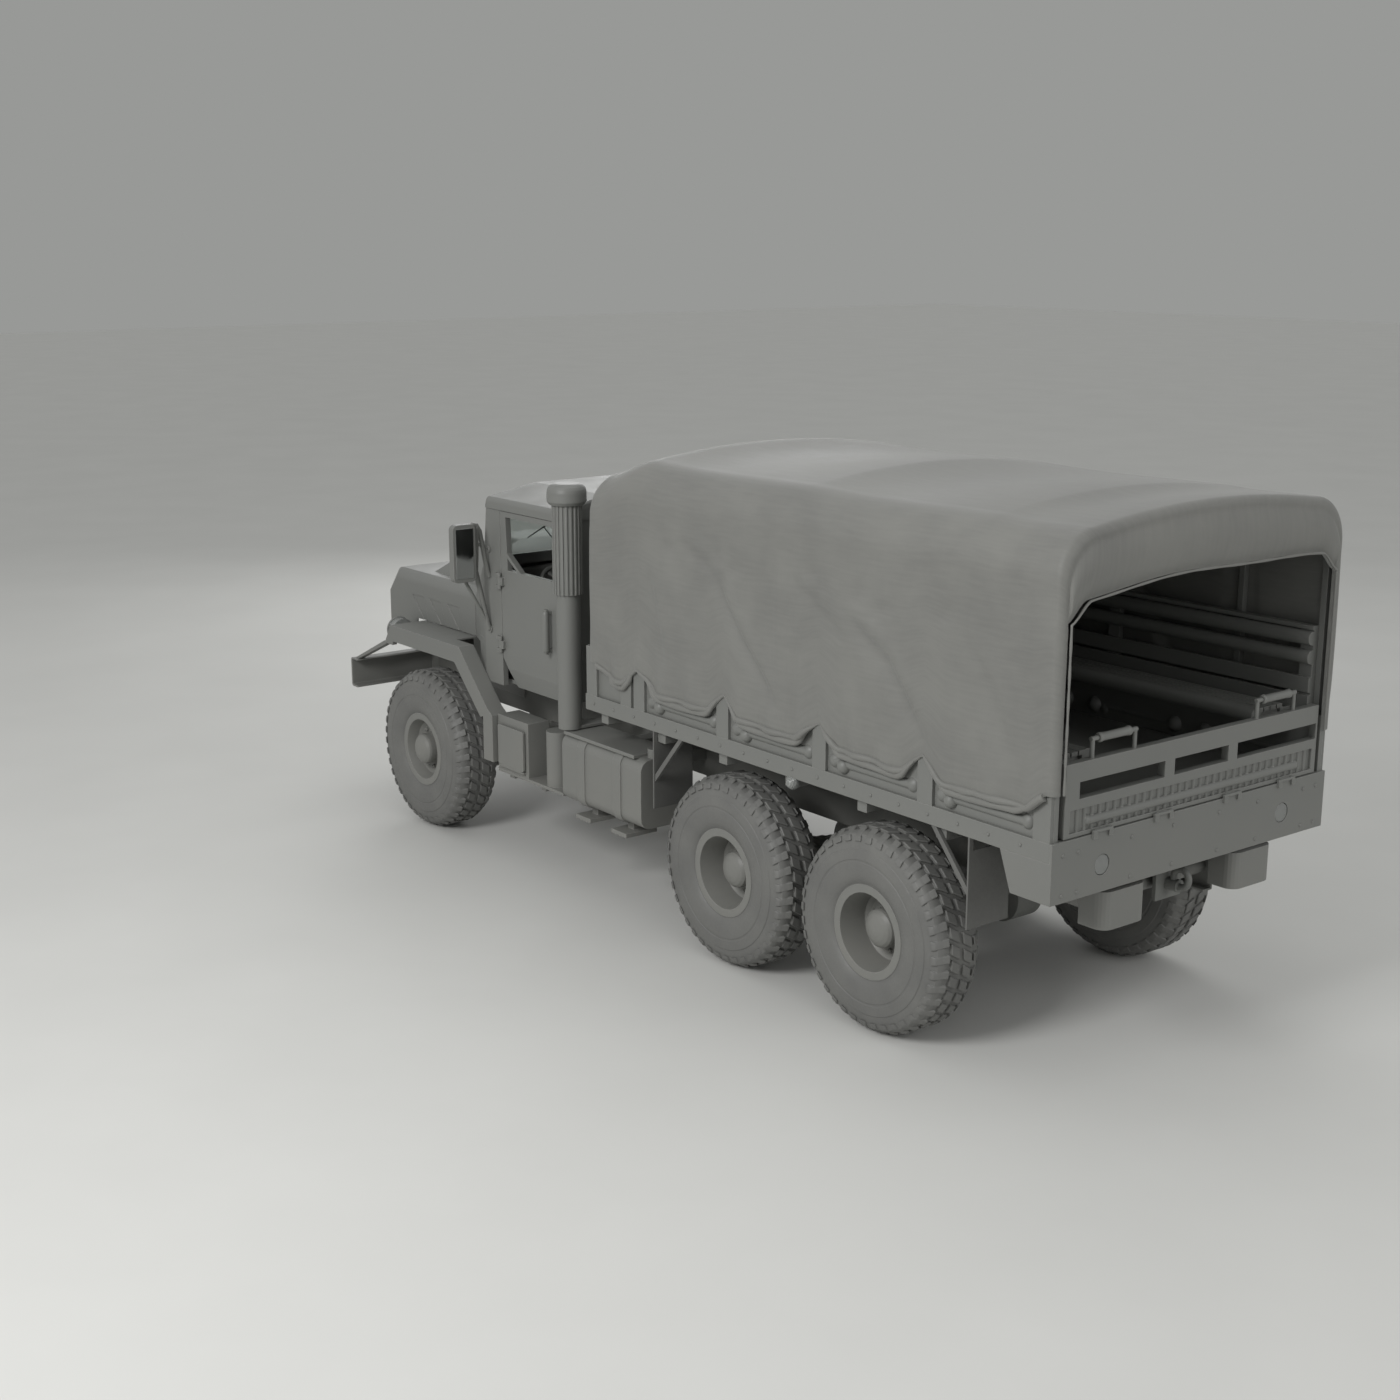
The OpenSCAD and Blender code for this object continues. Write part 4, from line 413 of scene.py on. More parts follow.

# %% [markdown]
# ## The canvas cover
# The cover is one big cloth, laid over five steel hoops and laced down at the sides: it peaks at each hoop, sags
# between, turns round the front into a closed end panel, and at the tail is rolled round the last hoop and hangs
# down as a short flap over the opening. It could be draped by a cloth simulation, but the real cloth has taken its
# set over the hoops, and its hem is pulled up at every stake, which a fresh drape wouldn't show. So a flat grid is
# bent ring by ring: first the end panel, then the tunnel, then the roll and the flap.

# %% The line of the cloth over the hoops
HOOPS = (0.226, -0.17, -1.70, -3.23, -3.83)
STAKES = (-0.21, -1.12, -2.03, -2.92)
HALF_WIDTH, CORNER, CROWN_FALL = 1.203, 0.262, 0.069
FRONT_X, REAR_X = 0.455, -3.895


def ease(t):
    t = min(max(t, 0.0), 1.0)
    return t * t * (3 - 2 * t)


def crest(x):
    """Height of the cloth's middle line over the hoops, lower at the nose."""
    return 3.243 - 0.130 * ease((x + 0.14) / 0.50)


def sag(x):
    """How far the middle line hangs below the hoops: it falls steeply behind each and rises slowly to the next."""
    for ahead, behind in zip(HOOPS[1:], HOOPS[2:]):
        if behind < x < ahead:
            along = (ahead - x) / (ahead - behind)
            return min(ahead - behind, 1.2) * 0.034 * math.sin(math.pi * along ** 0.72) ** 1.7
    return 0.0


def hem(x, side):
    """Height of the lower edge: low between stakes, pulled up to a tip at each, and higher at both ends."""
    low = 1.672 + 0.012 * math.sin(5.1 * x + side)
    for k, stake in enumerate(STAKES):
        away = abs(x - stake) / (0.16 + 0.02 * math.sin(3.0 * k + side))
        low = max(low, 1.806 - 0.10 * min(away, 1.0) - 0.034 * ease(away - 0.4))
    low += 0.10 * ease((x - 0.02) / 0.36) + 0.105 * ease((-3.70 - x) / 0.16)
    return low


print("crest", [round(crest(x), 3) for x in HOOPS], "sag", round(sag(-2.3), 3))
print("hem", [round(hem(x, 1), 3) for x in STAKES])

# %% [markdown]
# ### Folds
# Cloth that is pulled sideways between a hoop and a stake throws slanting folds. Each fold here is a bent line on
# the side of the cover: a valley with one steep flank, and a soft ridge beside it. Small dimples sit under the
# hoops' bends.

# %% Folds and dimples on the sides
FOLDS = {1: (((-0.98, 2.60), (-1.27, 2.20), (-1.70, 1.74), 0.026, 0.055),
             ((-2.22, 2.52), (-2.62, 2.28), (-2.98, 1.80), 0.027, 0.065),
             ((-0.30, 2.50), (-0.42, 2.15), (-0.50, 1.76), 0.012, 0.07),
             ((-1.62, 2.68), (-1.98, 2.52), (-2.30, 2.30), 0.012, 0.06),
             ((-0.62, 2.74), (-0.92, 2.62), (-1.20, 2.46), 0.013, 0.06),
             ((-3.05, 2.62), (-3.38, 2.30), (-3.66, 1.80), 0.013, 0.08)),
         -1: (((-0.95, 2.66), (-1.20, 2.22), (-1.52, 1.76), 0.024, 0.06),
              ((-2.05, 2.58), (-2.48, 2.26), (-2.72, 1.82), 0.025, 0.065),
              ((-0.10, 2.44), (-0.28, 2.10), (-0.40, 1.80), 0.010, 0.07),
              ((-3.00, 2.56), (-3.22, 2.20), (-3.40, 1.80), 0.012, 0.08))}
DIMPLES = ((-1.02, 2.67, 0.10), (-1.22, 2.61, 0.09), (-2.36, 2.63, 0.11), (-2.56, 2.56, 0.10), (-3.08, 2.62, 0.10),
           (-1.95, 2.70, 0.08), (-0.55, 2.66, 0.09))


def off_line(x, z, a, b):
    """Distance of a point from a stretch of line, with its sign, and how far along it lies."""
    run = Vector(b) - Vector(a)
    along = min(max((Vector((x, z)) - Vector(a)).dot(run) / run.length_squared, 0.0), 1.0)
    gap = Vector((x, z)) - (Vector(a) + along * run)
    side = 1 if run.x * gap.y - run.y * gap.x > 0 else -1
    return side * gap.length, along


def billow(x, z, side):
    """How far the side of the cover stands out from its flat plane."""
    low = hem(x, side)
    up = min(max((z - low) / (2.86 - low), 0.0), 1.0)
    out = 0.010 * math.sin(math.pi * up) * math.cos(2 * math.pi * (x + 0.93) / 1.53)
    out += 0.008 * math.sin(2.1 * x + 1.3 * side) * math.sin(math.pi * up)
    for a, b, c, depth, width in FOLDS[side]:
        upper, along_upper = off_line(x, z, a, b)
        lower, along_lower = off_line(x, z, b, c)
        off, along = (upper, along_upper / 2) if abs(upper) < abs(lower) else (lower, 0.5 + along_lower / 2)
        strength = depth * ease(along / 0.25) * ease((1.0 - along) / 0.25)
        flank = width * (1.25 if off > 0 else 0.55)
        out -= strength * math.exp(-(off / flank) ** 2)
        out += 0.4 * strength * math.exp(-((off + 1.3 * width) / (0.9 * width)) ** 2)
    for cx, cz, reach in DIMPLES:
        away = math.hypot((x - cx) / 1.5, z - cz + 0.25 * (x - cx)) / reach
        out -= 0.014 * math.exp(-away * away * 3)
    loose = ease((0.30 - up) / 0.30)
    out += loose * 0.013 * math.sin(2 * math.pi * x / 0.31 + 2 * math.sin(3 * x) + side)
    hoop = min(abs(x - h) for h in HOOPS)
    return max(out, -0.002 - 0.06 * ease((hoop - 0.03) / 0.30))


print("billow at mid side", round(billow(-1.3, 2.2, 1), 4))

# %% [markdown]
# ### Bending the grid
# One direction of the grid runs along the truck and the other across it, from hem to hem. Across, a point lies on
# the crown, round the shoulder or on the side. Along, the first rings shrink into the front panel, the last ones
# turn round the rear hoop and hang as the flap.

# %% Bend a flat grid over the hoops
ACROSS, CROWN, SHOULDER = 188, 26, 16
SIDE_STEPS = ACROSS // 2 - CROWN - SHOULDER
FRONT_RINGS, ROUND_RINGS, TUNNEL_RINGS, ROLL_RINGS, FLAP_RINGS = 12, 10, 206, 8, 12
ALONG = FRONT_RINGS + ROUND_RINGS + TUNNEL_RINGS + ROLL_RINGS + FLAP_RINGS
FRONT_ROUND, REAR_ROUND = 0.17, 0.045


def section_point(x, step):
    """A point of the cloth at a place along the truck; step counts from the left hem to the right one."""
    side = 1 if step <= ACROSS / 2 else -1
    count = abs(step - ACROSS / 2)
    top, flat = crest(x) - 0.3 * sag(x), HALF_WIDTH - CORNER
    if count <= CROWN:
        share = (count / CROWN) ** 2
        return Vector((x, side * flat * count / CROWN, top - CROWN_FALL * share - 0.7 * sag(x) * (1 - share)))
    if count <= CROWN + SHOULDER:
        turn = math.radians(90) * (count - CROWN) / SHOULDER
        return Vector((x, side * (flat + CORNER * math.sin(turn)),
                       top - CROWN_FALL - CORNER * (1 - math.cos(turn))))
    down = (count - CROWN - SHOULDER) / SIDE_STEPS
    start = top - CROWN_FALL - CORNER
    z = start + (hem(x, side) - start) * down
    return Vector((x, side * (HALF_WIDTH + billow(x, z, side) * ease(down / 0.12)), z))


def shrunk(point, amount, low):
    """The same point on an outline that is drawn in by an amount towards the middle of its foot."""
    share = 1 - amount / HALF_WIDTH
    return Vector((point.x, point.y * share, low + (point.z - low) * (1 - amount / (3.1 - low))))


def flap_edge(point):
    """Where the rear flap's lower edge hangs: the tail opening, with a soft arch at its top."""
    y = max(min(point.y, 1.128), -1.128)
    arch = 2.868 - 0.055 * (y / 1.1) ** 2 - 0.018 * y + 0.008 * math.sin(5 * y)
    return Vector((REAR_X, y, min(point.z, arch - 0.10 * ease((abs(y) - 0.98) / 0.16))))


def bent(ring, step):
    if ring < FRONT_RINGS + ROUND_RINGS:
        rim = section_point(FRONT_X - FRONT_ROUND, step)
        low = 1.80
        if ring >= FRONT_RINGS:
            turn = math.radians(90) * (ring - FRONT_RINGS) / ROUND_RINGS
            drawn = shrunk(rim, FRONT_ROUND * (1 - math.sin(turn)), low)
            drawn.x = FRONT_X - FRONT_ROUND * (1 - math.cos(turn))
            return drawn
        drawn = shrunk(rim, FRONT_ROUND, low)
        share = max(ring / FRONT_RINGS, 0.004)
        bulge = 0.012 * math.sin(math.pi * share)
        return Vector((FRONT_X + bulge, drawn.y * share, low + (drawn.z - low) * share))
    ring -= FRONT_RINGS + ROUND_RINGS
    front, back = FRONT_X - FRONT_ROUND, REAR_X + REAR_ROUND
    if ring <= TUNNEL_RINGS:
        return section_point(front + (back - front) * ring / TUNNEL_RINGS, step)
    ring -= TUNNEL_RINGS
    rim = section_point(back, step)
    if ring <= ROLL_RINGS:
        turn = math.radians(105) * ring / ROLL_RINGS
        drawn = shrunk(rim, REAR_ROUND * (1 - math.cos(turn)), 1.7)
        drawn.x = back - REAR_ROUND * math.sin(turn)
        return drawn
    hang = (ring - ROLL_RINGS) / FLAP_RINGS
    start, end = bent(FRONT_RINGS + ROUND_RINGS + TUNNEL_RINGS + ROLL_RINGS, step), flap_edge(rim)
    drop = start + (end - start) * hang
    drop.x = start.x - 0.030 * math.sin(math.pi * hang) * min(1.0, (start - end).length / 0.2) + 0.02 * hang
    return drop


bpy.ops.object.select_all(action="DESELECT")
bpy.ops.mesh.primitive_grid_add(x_subdivisions=ALONG, y_subdivisions=ACROSS, size=1)
cover = added("canvas_sheet")
for v in cover.data.vertices:
    v.co = bent(round((v.co.x + 0.5) * ALONG), round((v.co.y + 0.5) * ACROSS))
print("cover", len(cover.data.vertices), "points")

# %% [markdown]
# ### Thickness, hem and rope
# The cloth is measured while it is still one face thick, because that is the area it was cut from. It then gets
# its thickness. Its lower edge is a pocket that is folded over a rope, so a roll runs along each side, thinner where
# a stake pinches it and fatter where slack cloth gathers.

# %% Measure the cloth, thicken it and map it in metres
girth = sum((bent(100, s + 1) - bent(100, s)).length for s in range(ACROSS))
reach = sum((bent(r + 1, ACROSS // 2) - bent(r, ACROSS // 2)).length for r in range(ALONG))
for loop in cover.data.uv_layers.active.data:
    loop.uv = (loop.uv[0] * reach, loop.uv[1] * girth)
pick(cover, lambda face: True)
bpy.ops.mesh.remove_doubles(threshold=0.0004)
bpy.ops.mesh.normals_make_consistent(inside=False)
done()
finish_with(cover, "SOLIDIFY", thickness=0.005, offset=-1.0)
smooth(cover, 80)


# %% Rolls along the hem and round the tail opening
def roll(name, points, thickness):
    """A tube along a row of points; each point says how thick the roll is there."""
    bpy.ops.curve.primitive_nurbs_path_add()
    line = added(name)
    line.data.splines.clear()
    run = line.data.splines.new("POLY")
    run.points.add(len(points) - 1)
    for spot, place, size in zip(run.points, points, thickness):
        spot.co, spot.radius = (*place, 1), size
    line.data.bevel_depth, line.data.bevel_resolution, line.data.use_fill_caps = 0.001, 3, True
    bpy.ops.object.select_all(action="DESELECT")
    line.select_set(True)
    bpy.context.view_layer.objects.active = line
    bpy.ops.object.convert(target="MESH")
    settle(line)
    smooth(line, 70)
    return line


hem_rolls = []
for side, name in ((1, "hem_roll_left"), (-1, "hem_roll_right")):
    places, sizes = [], []
    for k in range(181):
        x = FRONT_X - 0.19 + (REAR_X + 0.06 - FRONT_X + 0.19) * k / 180
        low = hem(x, side)
        pinch = min(min(abs(x - s) for s in STAKES) / 0.16, 1.0)
        sizes.append(9 + 12 * ease(pinch) + 2.5 * math.sin(23 * x + side))
        places.append((x, side * (HALF_WIDTH + billow(x, low, side) - 0.002), low - 0.004))
    hem_rolls.append(roll(name, places, sizes))
ENDS = (0.20,) + STAKES + (-3.82,)
for side, name in ((1, "left"), (-1, "right")):
    for k, (ahead, behind) in enumerate(zip(ENDS, ENDS[1:])):
        places, sizes = [], []
        for step in range(25):
            along = step / 24
            x = ahead - 0.07 + (behind - ahead + 0.14) * along
            lift = 0.055 * (1 - ease(min(along, 1 - along) / 0.16))
            droop = 0.010 * math.sin(math.pi * along)
            places.append((x, side * (HALF_WIDTH - 0.004), hem(x, side) - 0.030 + min(lift, 0.02) - droop))
            sizes.append(7 + 15 * ease(min(along, 1 - along) / 0.14) + 1.5 * math.sin(19 * x + k))
        hem_rolls.append(roll(f"slack_roll_{name}_{k + 1}", places, sizes))
rim = [flap_edge(section_point(REAR_X + REAR_ROUND, s)) for s in range(ACROSS + 1)]
edge_points = [(REAR_X - 0.008, p.y, p.z) for p in rim]
hem_rolls.append(roll("tail_roll", edge_points, [7 + math.sin(0.9 * s) for s in range(ACROSS + 1)]))
print("rolls", [r.name for r in hem_rolls])

dress(cover, canvas_duck, "truck")
for piece in hem_rolls:
    dress(piece, canvas_duck, "truck")
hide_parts("canvas_cover")
print("cover box", [round(c, 3) for c in cover.bound_box[0]], [round(c, 3) for c in cover.bound_box[6]])

# %% [markdown]
# ## Tyres
# A military tyre is a tall, round-shouldered carcass with a coarse tread: a zigzag rib in the middle, and stout
# lugs that run over the shoulder and end on the sidewall. The carcass is a section that is spun round the axle. A
# lug is one block, bevelled and tapered, and spun in copies. One tyre is modelled at the left rear wheel and copied
# to the others, turned a little each time, since no two wheels stop at the same place.

# %% Spin a section round an axle
def spun(name, section, centre, steps, axis=(0, 1, 0), closed=False):
    """A ring of points set on a section, (radius, distance along the axle), and spun; open unless closed is asked."""
    bpy.ops.object.select_all(action="DESELECT")
    bpy.ops.mesh.primitive_circle_add(vertices=len(section), fill_type="NOTHING", location=centre)
    piece = added(name)
    settle(piece)
    out = Vector((0, 0, 1)) if abs(axis[2]) < 0.5 else Vector((1, 0, 0))
    for v, (radius, along) in zip(piece.data.vertices, section):
        v.co = Vector(centre) + radius * out + along * Vector(axis)
    last = len(section) - 1
    pick(piece, lambda edge: not closed and set(edge.vertices) == {0, last}, "EDGE")
    bpy.ops.mesh.delete(type="EDGE")
    bpy.ops.mesh.select_all(action="SELECT")
    bpy.ops.mesh.spin(steps=steps, angle=math.tau, center=centre, axis=axis)
    bpy.ops.mesh.select_all(action="SELECT")
    bpy.ops.mesh.remove_doubles(threshold=0.00005)
    bpy.ops.mesh.normals_make_consistent(inside=False)
    done()
    return piece


WHEEL_X = {"front": 2.73, "mid": -1.134, "rear": -2.506}
HALF_TRACK, HUB_HEIGHT = 1.05, 0.63
AXLE = Vector((WHEEL_X["rear"], HALF_TRACK, HUB_HEIGHT))
wall = [(0.262, 0.146), (0.282, 0.150), (0.290, 0.160), (0.296, 0.160), (0.304, 0.168), (0.335, 0.1795),
        (0.365, 0.1855), (0.398, 0.1882), (0.426, 0.1890), (0.430, 0.1860), (0.440, 0.1860), (0.444, 0.1888),
        (0.470, 0.1878), (0.502, 0.1845), (0.506, 0.1800), (0.530, 0.1770), (0.560, 0.1690), (0.590, 0.1560),
        (0.604, 0.138), (0.610, 0.105), (0.6125, 0.05)]
section = wall + [(0.613, 0.0)] + [(r, -y) for r, y in reversed(wall)]
carcass = spun("carcass", section, AXLE, 96)
smooth(carcass, 28)
print("carcass", len(carcass.data.polygons), "faces")

# %% [markdown]
# ### Lugs
# The shoulder lug starts as a cube. Its outer end is drawn down over the shoulder, its top is narrowed, and the
# edges are bevelled. Middle blocks lie slanted on either side of the centre line, half a pitch apart, which makes
# the zigzag groove.

# %% Shoulder lugs and middle blocks
LUGS, SHOULDER_DROP = 40, -0.045


def tread_block(name, size, place, corners, bevel):
    """A cube whose eight corners are then set one by one: (along, out, up) shifts keyed by its corner's signs."""
    bpy.ops.object.select_all(action="DESELECT")
    bpy.ops.mesh.primitive_cube_add(size=1, location=place, scale=size)
    block = added(name)
    settle(block)
    middle = Vector(place)
    for v in block.data.vertices:
        signs = tuple(1 if c > 0 else -1 for c in (v.co - middle))
        v.co += Vector(corners.get(signs, (0, 0, 0)))
    finish_with(block, "BEVEL", width=bevel, segments=1, limit_method="NONE")
    return block


def around(piece, count):
    """Copies a piece round the axle in equal steps."""
    pick(piece, lambda face: True)
    bpy.ops.mesh.spin(steps=count - 1, dupli=True, angle=math.tau * (count - 1) / count, center=AXLE, axis=(0, 1, 0))
    done()
    return piece


rows = []
for side in (1, -1):
    hang = {(sx, side, sz): (0, 0, SHOULDER_DROP) for sx in (1, -1) for sz in (1, -1)}
    narrow = {(sx, side, 1): (-0.006 * sx, -0.010 * side, SHOULDER_DROP) for sx in (1, -1)}
    start = {(sx, -side, 1): (-0.004 * sx + 0.016 * side, 0, 0.0012) for sx in (1, -1)}
    start.update({(sx, -side, -1): (0.016 * side, 0, 0) for sx in (1, -1)})
    long_lug = tread_block("lug", (0.058, 0.085, 0.034), AXLE + Vector((0, side * 0.139, 0.612)),
                           {**hang, **narrow, **start}, 0.004)
    rows.append(around(long_lug, LUGS))
    foot = tread_block("foot", (0.050, 0.016, 0.060), AXLE + Vector((0, side * 0.170, 0.553)),
                       {(sx, side, sz): (-0.005 * sx, -0.004 * side if sz < 0 else -0.012 * side, 0)
                        for sx in (1, -1) for sz in (1, -1)}, 0.004)
    rows.append(around(foot, LUGS))
    slant = {(sx, sy, sz): (0.020 * sy, 0, 0) for sx in (1, -1) for sy in (1, -1) for sz in (1, -1)}
    turn = math.pi / LUGS if side > 0 else 0.0
    mid = tread_block("block", (0.070, 0.066, 0.032), AXLE + Vector((0, side * 0.048, 0.612)), slant, 0.005)
    mid.data.transform(Matrix.Translation(AXLE) @ Matrix.Rotation(turn, 4, "Y") @ Matrix.Translation(-AXLE))
    rows.append(around(mid, LUGS))
tread = joined("tread", rows)
smooth(tread, 25)
tyre = joined("tyre_model", [carcass, tread])
outer = max(v.co.z for v in tyre.data.vertices) - AXLE.z
print("tyre", len(tyre.data.polygons), "faces; outer radius", round(outer, 4))

# %% Six tyres
for row, x in WHEEL_X.items():
    for name, side in (("left", 1), ("right", -1)):
        stop = Matrix.Rotation(math.radians(37 * x + 11 * side), 4, "Y")
        at_wheel = moved(x, AXLE.y, AXLE.z) @ stop @ Matrix.Translation(-AXLE)
        if side < 0:
            at_wheel = RIGHT @ at_wheel
        dressed = twin(tyre, f"tread_tyre_{row}_{name}", at_wheel)
        dress(dressed, tyre_rubber, f"wheel_{row}_{name}")
        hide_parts(f"tyre_{row}_{name}")
bpy.data.objects.remove(tyre)

# %% [markdown]
# ## Seats
# Two plain seats stand on pressed boxes. A cushion is foam under vinyl: its top swells, its sides pull in between
# the corners, and a welt runs round its edge. A cube with its edges held by extra cuts and then subdivided gives
# that crowned form without waiting for a simulation, and the seats are only glimpsed through the door window.

# %% Cushions and their boxes
def cushion(name, size, place, lean):
    bpy.ops.object.select_all(action="DESELECT")
    bpy.ops.mesh.primitive_cube_add(size=1, location=place, rotation=(0, lean, 0), scale=size)
    pad = added(name)
    pick(pad, lambda face: True)
    bpy.ops.mesh.subdivide(number_cuts=9)
    done()
    thin = min(range(3), key=lambda axis: size[axis])
    flat = [axis for axis in range(3) if axis != thin]
    for v in pad.data.vertices:
        a, b = (2 * v.co[axis] for axis in flat)
        crown = (1 - a ** 4) * (1 - b ** 4)
        channel = 0.10 * math.exp(-((abs(a) - 0.45) / 0.06) ** 2) * (1 - b ** 4)
        v.co[thin] *= 0.72 + 0.28 * crown - channel
        v.co[flat[0]] *= 1 - 0.035 * (1 - b * b)
        v.co[flat[1]] *= 1 - 0.035 * (1 - a * a)
    settle(pad)
    finish_with(pad, "BEVEL", width=0.012, segments=2, limit_method="ANGLE", angle_limit=math.radians(50))
    finish_with(pad, "SUBSURF", levels=1, render_levels=1)
    smooth(pad, 80)
    dress(pad, seat_vinyl, "truck")
    return pad


SEAT_LEAN = math.radians(-6)
for name, y in (("driver", 0.48), ("passenger", -0.48)):
    bpy.ops.object.select_all(action="DESELECT")
    bpy.ops.mesh.primitive_cube_add(size=1, location=(1.285, y, 1.467), scale=(0.38, 0.50, 0.25))
    box = added(f"seat_box_{name}")
    settle(box)
    pick(box, lambda face: abs(face.normal.z) < 0.5)
    bpy.ops.mesh.inset(thickness=0.05, use_individual=True)
    bpy.ops.transform.shrink_fatten(value=-0.006)
    done()
    finish_with(box, "BEVEL", width=0.010, segments=2, limit_method="ANGLE")
    smooth(box, 35)
    dress(box, body_enamel, "truck")
    seat = cushion(f"seat_pad_{name}", (0.47, 0.53, 0.135), (1.31, y, 1.660), 0.0)
    back = cushion(f"seat_back_{name}", (0.105, 0.53, 0.55), (1.075, y, 1.925), SEAT_LEAN)
    if name == "driver":
        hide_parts("cab_seats")

# %% [markdown]
# ## Wheel nuts
# Ten chamfered nuts hold each wheel. One nut is a six-sided cylinder whose outer end is drawn in by an inset, with
# a stud standing out of it. A ring of them is joined, and mirrored for the right-hand wheels.

# %% Nuts
def nut(name, place, radius, height, outwards=1):
    bpy.ops.object.select_all(action="DESELECT")
    bpy.ops.mesh.primitive_cylinder_add(vertices=6, radius=radius, depth=height, location=place,
                                        rotation=(-math.pi / 2 * outwards, 0, 0))
    head = added(name)
    settle(head)
    pick(head, lambda face: face.normal.y * outwards > 0.9)
    bpy.ops.mesh.inset(thickness=radius * 0.28)
    bpy.ops.transform.translate(value=(0, outwards * radius * 0.16, 0))
    bpy.ops.mesh.inset(thickness=radius * 0.14)
    bpy.ops.mesh.extrude_region_move(TRANSFORM_OT_translate={"value": (0, outwards * radius * 0.35, 0)})
    done()
    return head


NUT_FACE = {"front": 0.052, "mid": -0.038, "rear": -0.038}
NUTS, NUT_CIRCLE = 10, 0.156
for row, x in WHEEL_X.items():
    face_y = HALF_TRACK + NUT_FACE[row]
    ring = []
    for k in range(NUTS):
        turn = math.tau * (k + 0.5) / NUTS
        hole = (x + NUT_CIRCLE * math.cos(turn), face_y + 0.009, HUB_HEIGHT + NUT_CIRCLE * math.sin(turn))
        ring.append(nut("nut", hole, 0.016, 0.020))
    nuts = joined(f"wheel_nuts_{row}_left", ring)
    mirrored = twin(nuts, f"wheel_nuts_{row}_right", RIGHT)
    for side, piece in (("left", nuts), ("right", mirrored)):
        dress(piece, body_enamel, f"wheel_{row}_{side}")

# %% [markdown]
# ## Mirrors, lamps and rivets
# The mirror heads get silvered glass in a narrow frame. Each headlamp gets a pressed rim. Round-headed rivets
# show where plates meet, on the tail sill and along the bed's side rail.

# %% Mirror glass and headlamp rims
for name, y in (("left", 1.30), ("right", -1.30)):
    bpy.ops.object.select_all(action="DESELECT")
    bpy.ops.mesh.primitive_cube_add(size=1, location=(1.833, y, 2.325), scale=(0.004, 0.15, 0.37))
    pane = added(f"mirror_glass_{name}")
    settle(pane)
    finish_with(pane, "BEVEL", width=0.0015, segments=2)
    dress(pane, mirror_glass, "truck")
    rim_line = [(0.086, -0.006), (0.103, -0.006), (0.106, 0.004), (0.103, 0.012), (0.096, 0.014), (0.089, 0.008)]
    lamp_rim = spun(f"lamp_rim_{name}", rim_line, (3.412, math.copysign(1.01, y), 1.47), 40, (1, 0, 0), closed=True)
    smooth(lamp_rim, 50)
    dress(lamp_rim, body_enamel, "truck")
print("mirror and lamp trim ready")


# %% Rivets on the tail sill and bed rail
def rivets(name, places, radius, facing, body="truck"):
    """Low domes in a row, each a ball that is cut at its middle and pressed flat."""
    made = []
    for place in places:
        bpy.ops.object.select_all(action="DESELECT")
        bpy.ops.mesh.primitive_uv_sphere_add(segments=10, ring_count=6, radius=radius, location=place)
        dome = added(name)
        settle(dome)
        normal, spot = Vector(facing), Vector(place)
        pick(dome, lambda face: True)
        bpy.ops.mesh.bisect(plane_co=spot, plane_no=normal, clear_inner=True, use_fill=True)
        done()
        for v in dome.data.vertices:
            v.co -= 0.45 * normal * (v.co - spot).dot(normal)
        made.append(dome)
    row = joined(name, made)
    smooth(row, 60)
    return dress(row, body_enamel, body)


SILL_ROWS = (-1.10, -0.98, -0.55, -0.2, 0.2, 0.55, 0.98, 1.10)
rivets("sill_rivets", [(-3.89, y, z) for y in SILL_ROWS for z in (1.215, 1.44)], 0.013, (-1, 0, 0))
for side, name in ((1, "rail_rivets_left"), (-1, "rail_rivets_right")):
    rivets(name, [(0.34 - 0.2355 * k, side * 1.187, 1.462) for k in range(18)], 0.012, (0, side, 0))
print("rivets ready")

# %% [markdown]
# ## Tailgate grips, bead caps and wipers
# The tailgate is lifted by two thick grips: a sleeve over each handle bar with swollen ends, spun round the bar. The
# bead across its panel ends in round caps. Two wipers rest on the windshield. Their arms follow its slope, a
# finger's width in front of the glass.

# %% Grips and caps on the tailgate
sleeve = [(0.0135, -0.128), (0.022, -0.128), (0.027, -0.122), (0.027, -0.108), (0.0235, -0.100), (0.0235, 0.100),
          (0.027, 0.108), (0.027, 0.122), (0.022, 0.128), (0.0135, 0.128)]
cap = [(0.0, 0.030), (0.012, 0.029), (0.024, 0.023), (0.034, 0.010), (0.037, -0.006), (0.034, -0.016), (0.030, -0.026)]
fittings = []
for side in (1, -1):
    grip = spun("grip", sleeve, (-3.855, side * 0.70, 2.037), 28, (0, 1, 0), closed=True)
    fittings.append(grip)
    fittings.append(spun("cap", [(r, side * a) for r, a in cap], (-3.848, side * 0.90, 1.595), 24, (0, 1, 0)))
grips = joined("tailgate_grips", fittings)
smooth(grips, 45)
dress(grips, body_enamel, "tailgate")
print("tailgate fittings", len(grips.data.polygons), "faces")

# %% Wipers on the windshield
blades = []
for side in (1, -1):
    on_glass = [(1.996 - 0.1136 * (z - 2.2), side * y, z) for y, z in ((0.30, 2.245), (0.42, 2.33), (0.52, 2.44))]
    blades.append(roll("wiper_arm", on_glass, [6, 5, 4]))
    edge = [(1.994 - 0.1136 * (z - 2.2), side * y, z) for y, z in ((0.40, 2.50), (0.52, 2.44), (0.66, 2.37))]
    blades.append(roll("wiper_blade", edge, [4, 6, 4]))
wipers = joined("wipers", blades)
dress(wipers, flap_rubber, "truck")
print("wipers", len(wipers.data.polygons), "faces")

# %% [markdown]
# ## Rope buttons and marker domes
# The cover's rope is hooked over round pressed buttons on the side boards, one behind each stake. The marker lamps
# under the bed's rail have round domes. Each is a ball that is let into its seat, so about half of it shows.

# %% Buttons on the side boards, domes on the marker lamps
def ball(name, place, radius):
    bpy.ops.object.select_all(action="DESELECT")
    bpy.ops.mesh.primitive_uv_sphere_add(segments=28, ring_count=16, radius=radius, location=place)
    piece = added(name)
    settle(piece)
    smooth(piece, 60)
    return piece


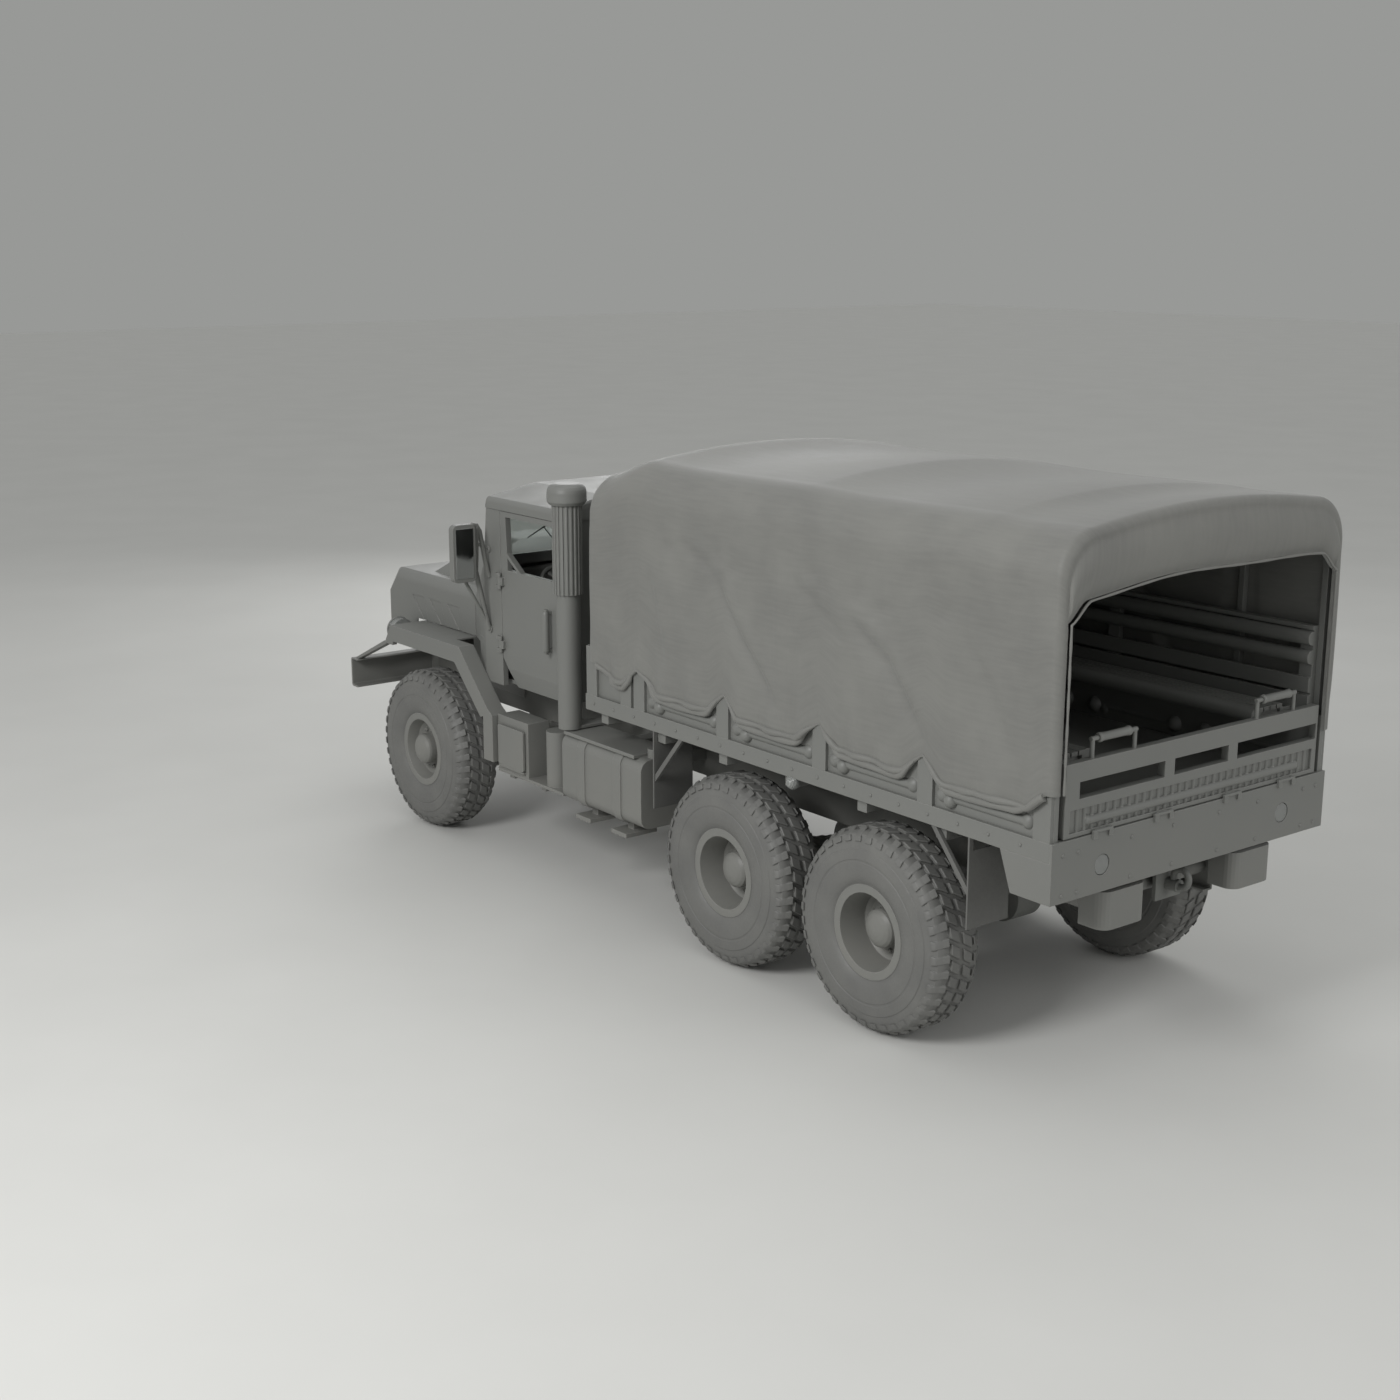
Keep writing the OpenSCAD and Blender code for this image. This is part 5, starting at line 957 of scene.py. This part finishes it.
for side, name in ((1, "left"), (-1, "right")):
    row = joined(f"rope_buttons_{name}",
                 [ball("button", (stake - 0.20, side * 1.163, 1.578), 0.046) for stake in STAKES])
    dress(row, body_enamel, "truck")
    dome = ball(f"marker_dome_{name}", (-1.77, side * 1.168, 1.374), 0.045)
    dress(dome, lamp_lens, "truck")
    print(row.name, len(row.data.polygons), "faces;", dome.name, len(dome.data.polygons))

# %% [markdown]
# ## Mirror loops and door grips
# Each mirror head hangs in a loop of bent tube, with a brace down to the foot on the cowl's side. The doors' upright
# handles have thick sleeves. All are tubes along a line, with the ends let into what they hold.

# %% Tubes at the mirrors, sleeves on the doors
LOOP = ((1.885, 1.225, 2.505), (1.90, 1.190, 2.522), (1.90, 1.155, 2.515), (1.90, 1.130, 2.47), (1.90, 1.108, 2.36),
        (1.90, 1.085, 2.24), (1.90, 1.064, 2.15), (1.90, 1.052, 2.12))
HANGER = ((1.885, 1.220, 2.15), (1.90, 1.190, 2.15), (1.90, 1.168, 2.18), (1.90, 1.162, 2.30), (1.90, 1.158, 2.42),
          (1.90, 1.152, 2.505))
BRACE = ((1.90, 1.172, 2.175), (1.90, 1.150, 2.08), (1.90, 1.112, 1.92), (1.90, 1.078, 1.77), (1.90, 1.064, 1.72))
SLEEVE = ((1.07, 1.098, 1.682), (1.07, 1.098, 1.690), (1.07, 1.098, 1.706), (1.07, 1.098, 1.964), (1.07, 1.098, 1.980),
          (1.07, 1.098, 1.988))
for side, name in ((1, "left"), (-1, "right")):
    tubes = [roll("tube", [(x, side * y, z) for x, y, z in line], [size] * len(line))
             for line, size in ((LOOP, 19), (HANGER, 17), (BRACE, 20))]
    loop = joined(f"mirror_loop_{name}", tubes)
    dress(loop, body_enamel, "truck")
    grip = roll(f"door_grip_{name}", [(x, side * y, z) for x, y, z in SLEEVE], [17, 23, 27, 27, 23, 17])
    dress(grip, body_enamel, f"door_{name}")
    print(loop.name, len(loop.data.polygons), "faces;", grip.name, len(grip.data.polygons))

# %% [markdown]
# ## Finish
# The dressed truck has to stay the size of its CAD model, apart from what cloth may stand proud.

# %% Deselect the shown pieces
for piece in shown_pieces():
    piece.select_set(False)
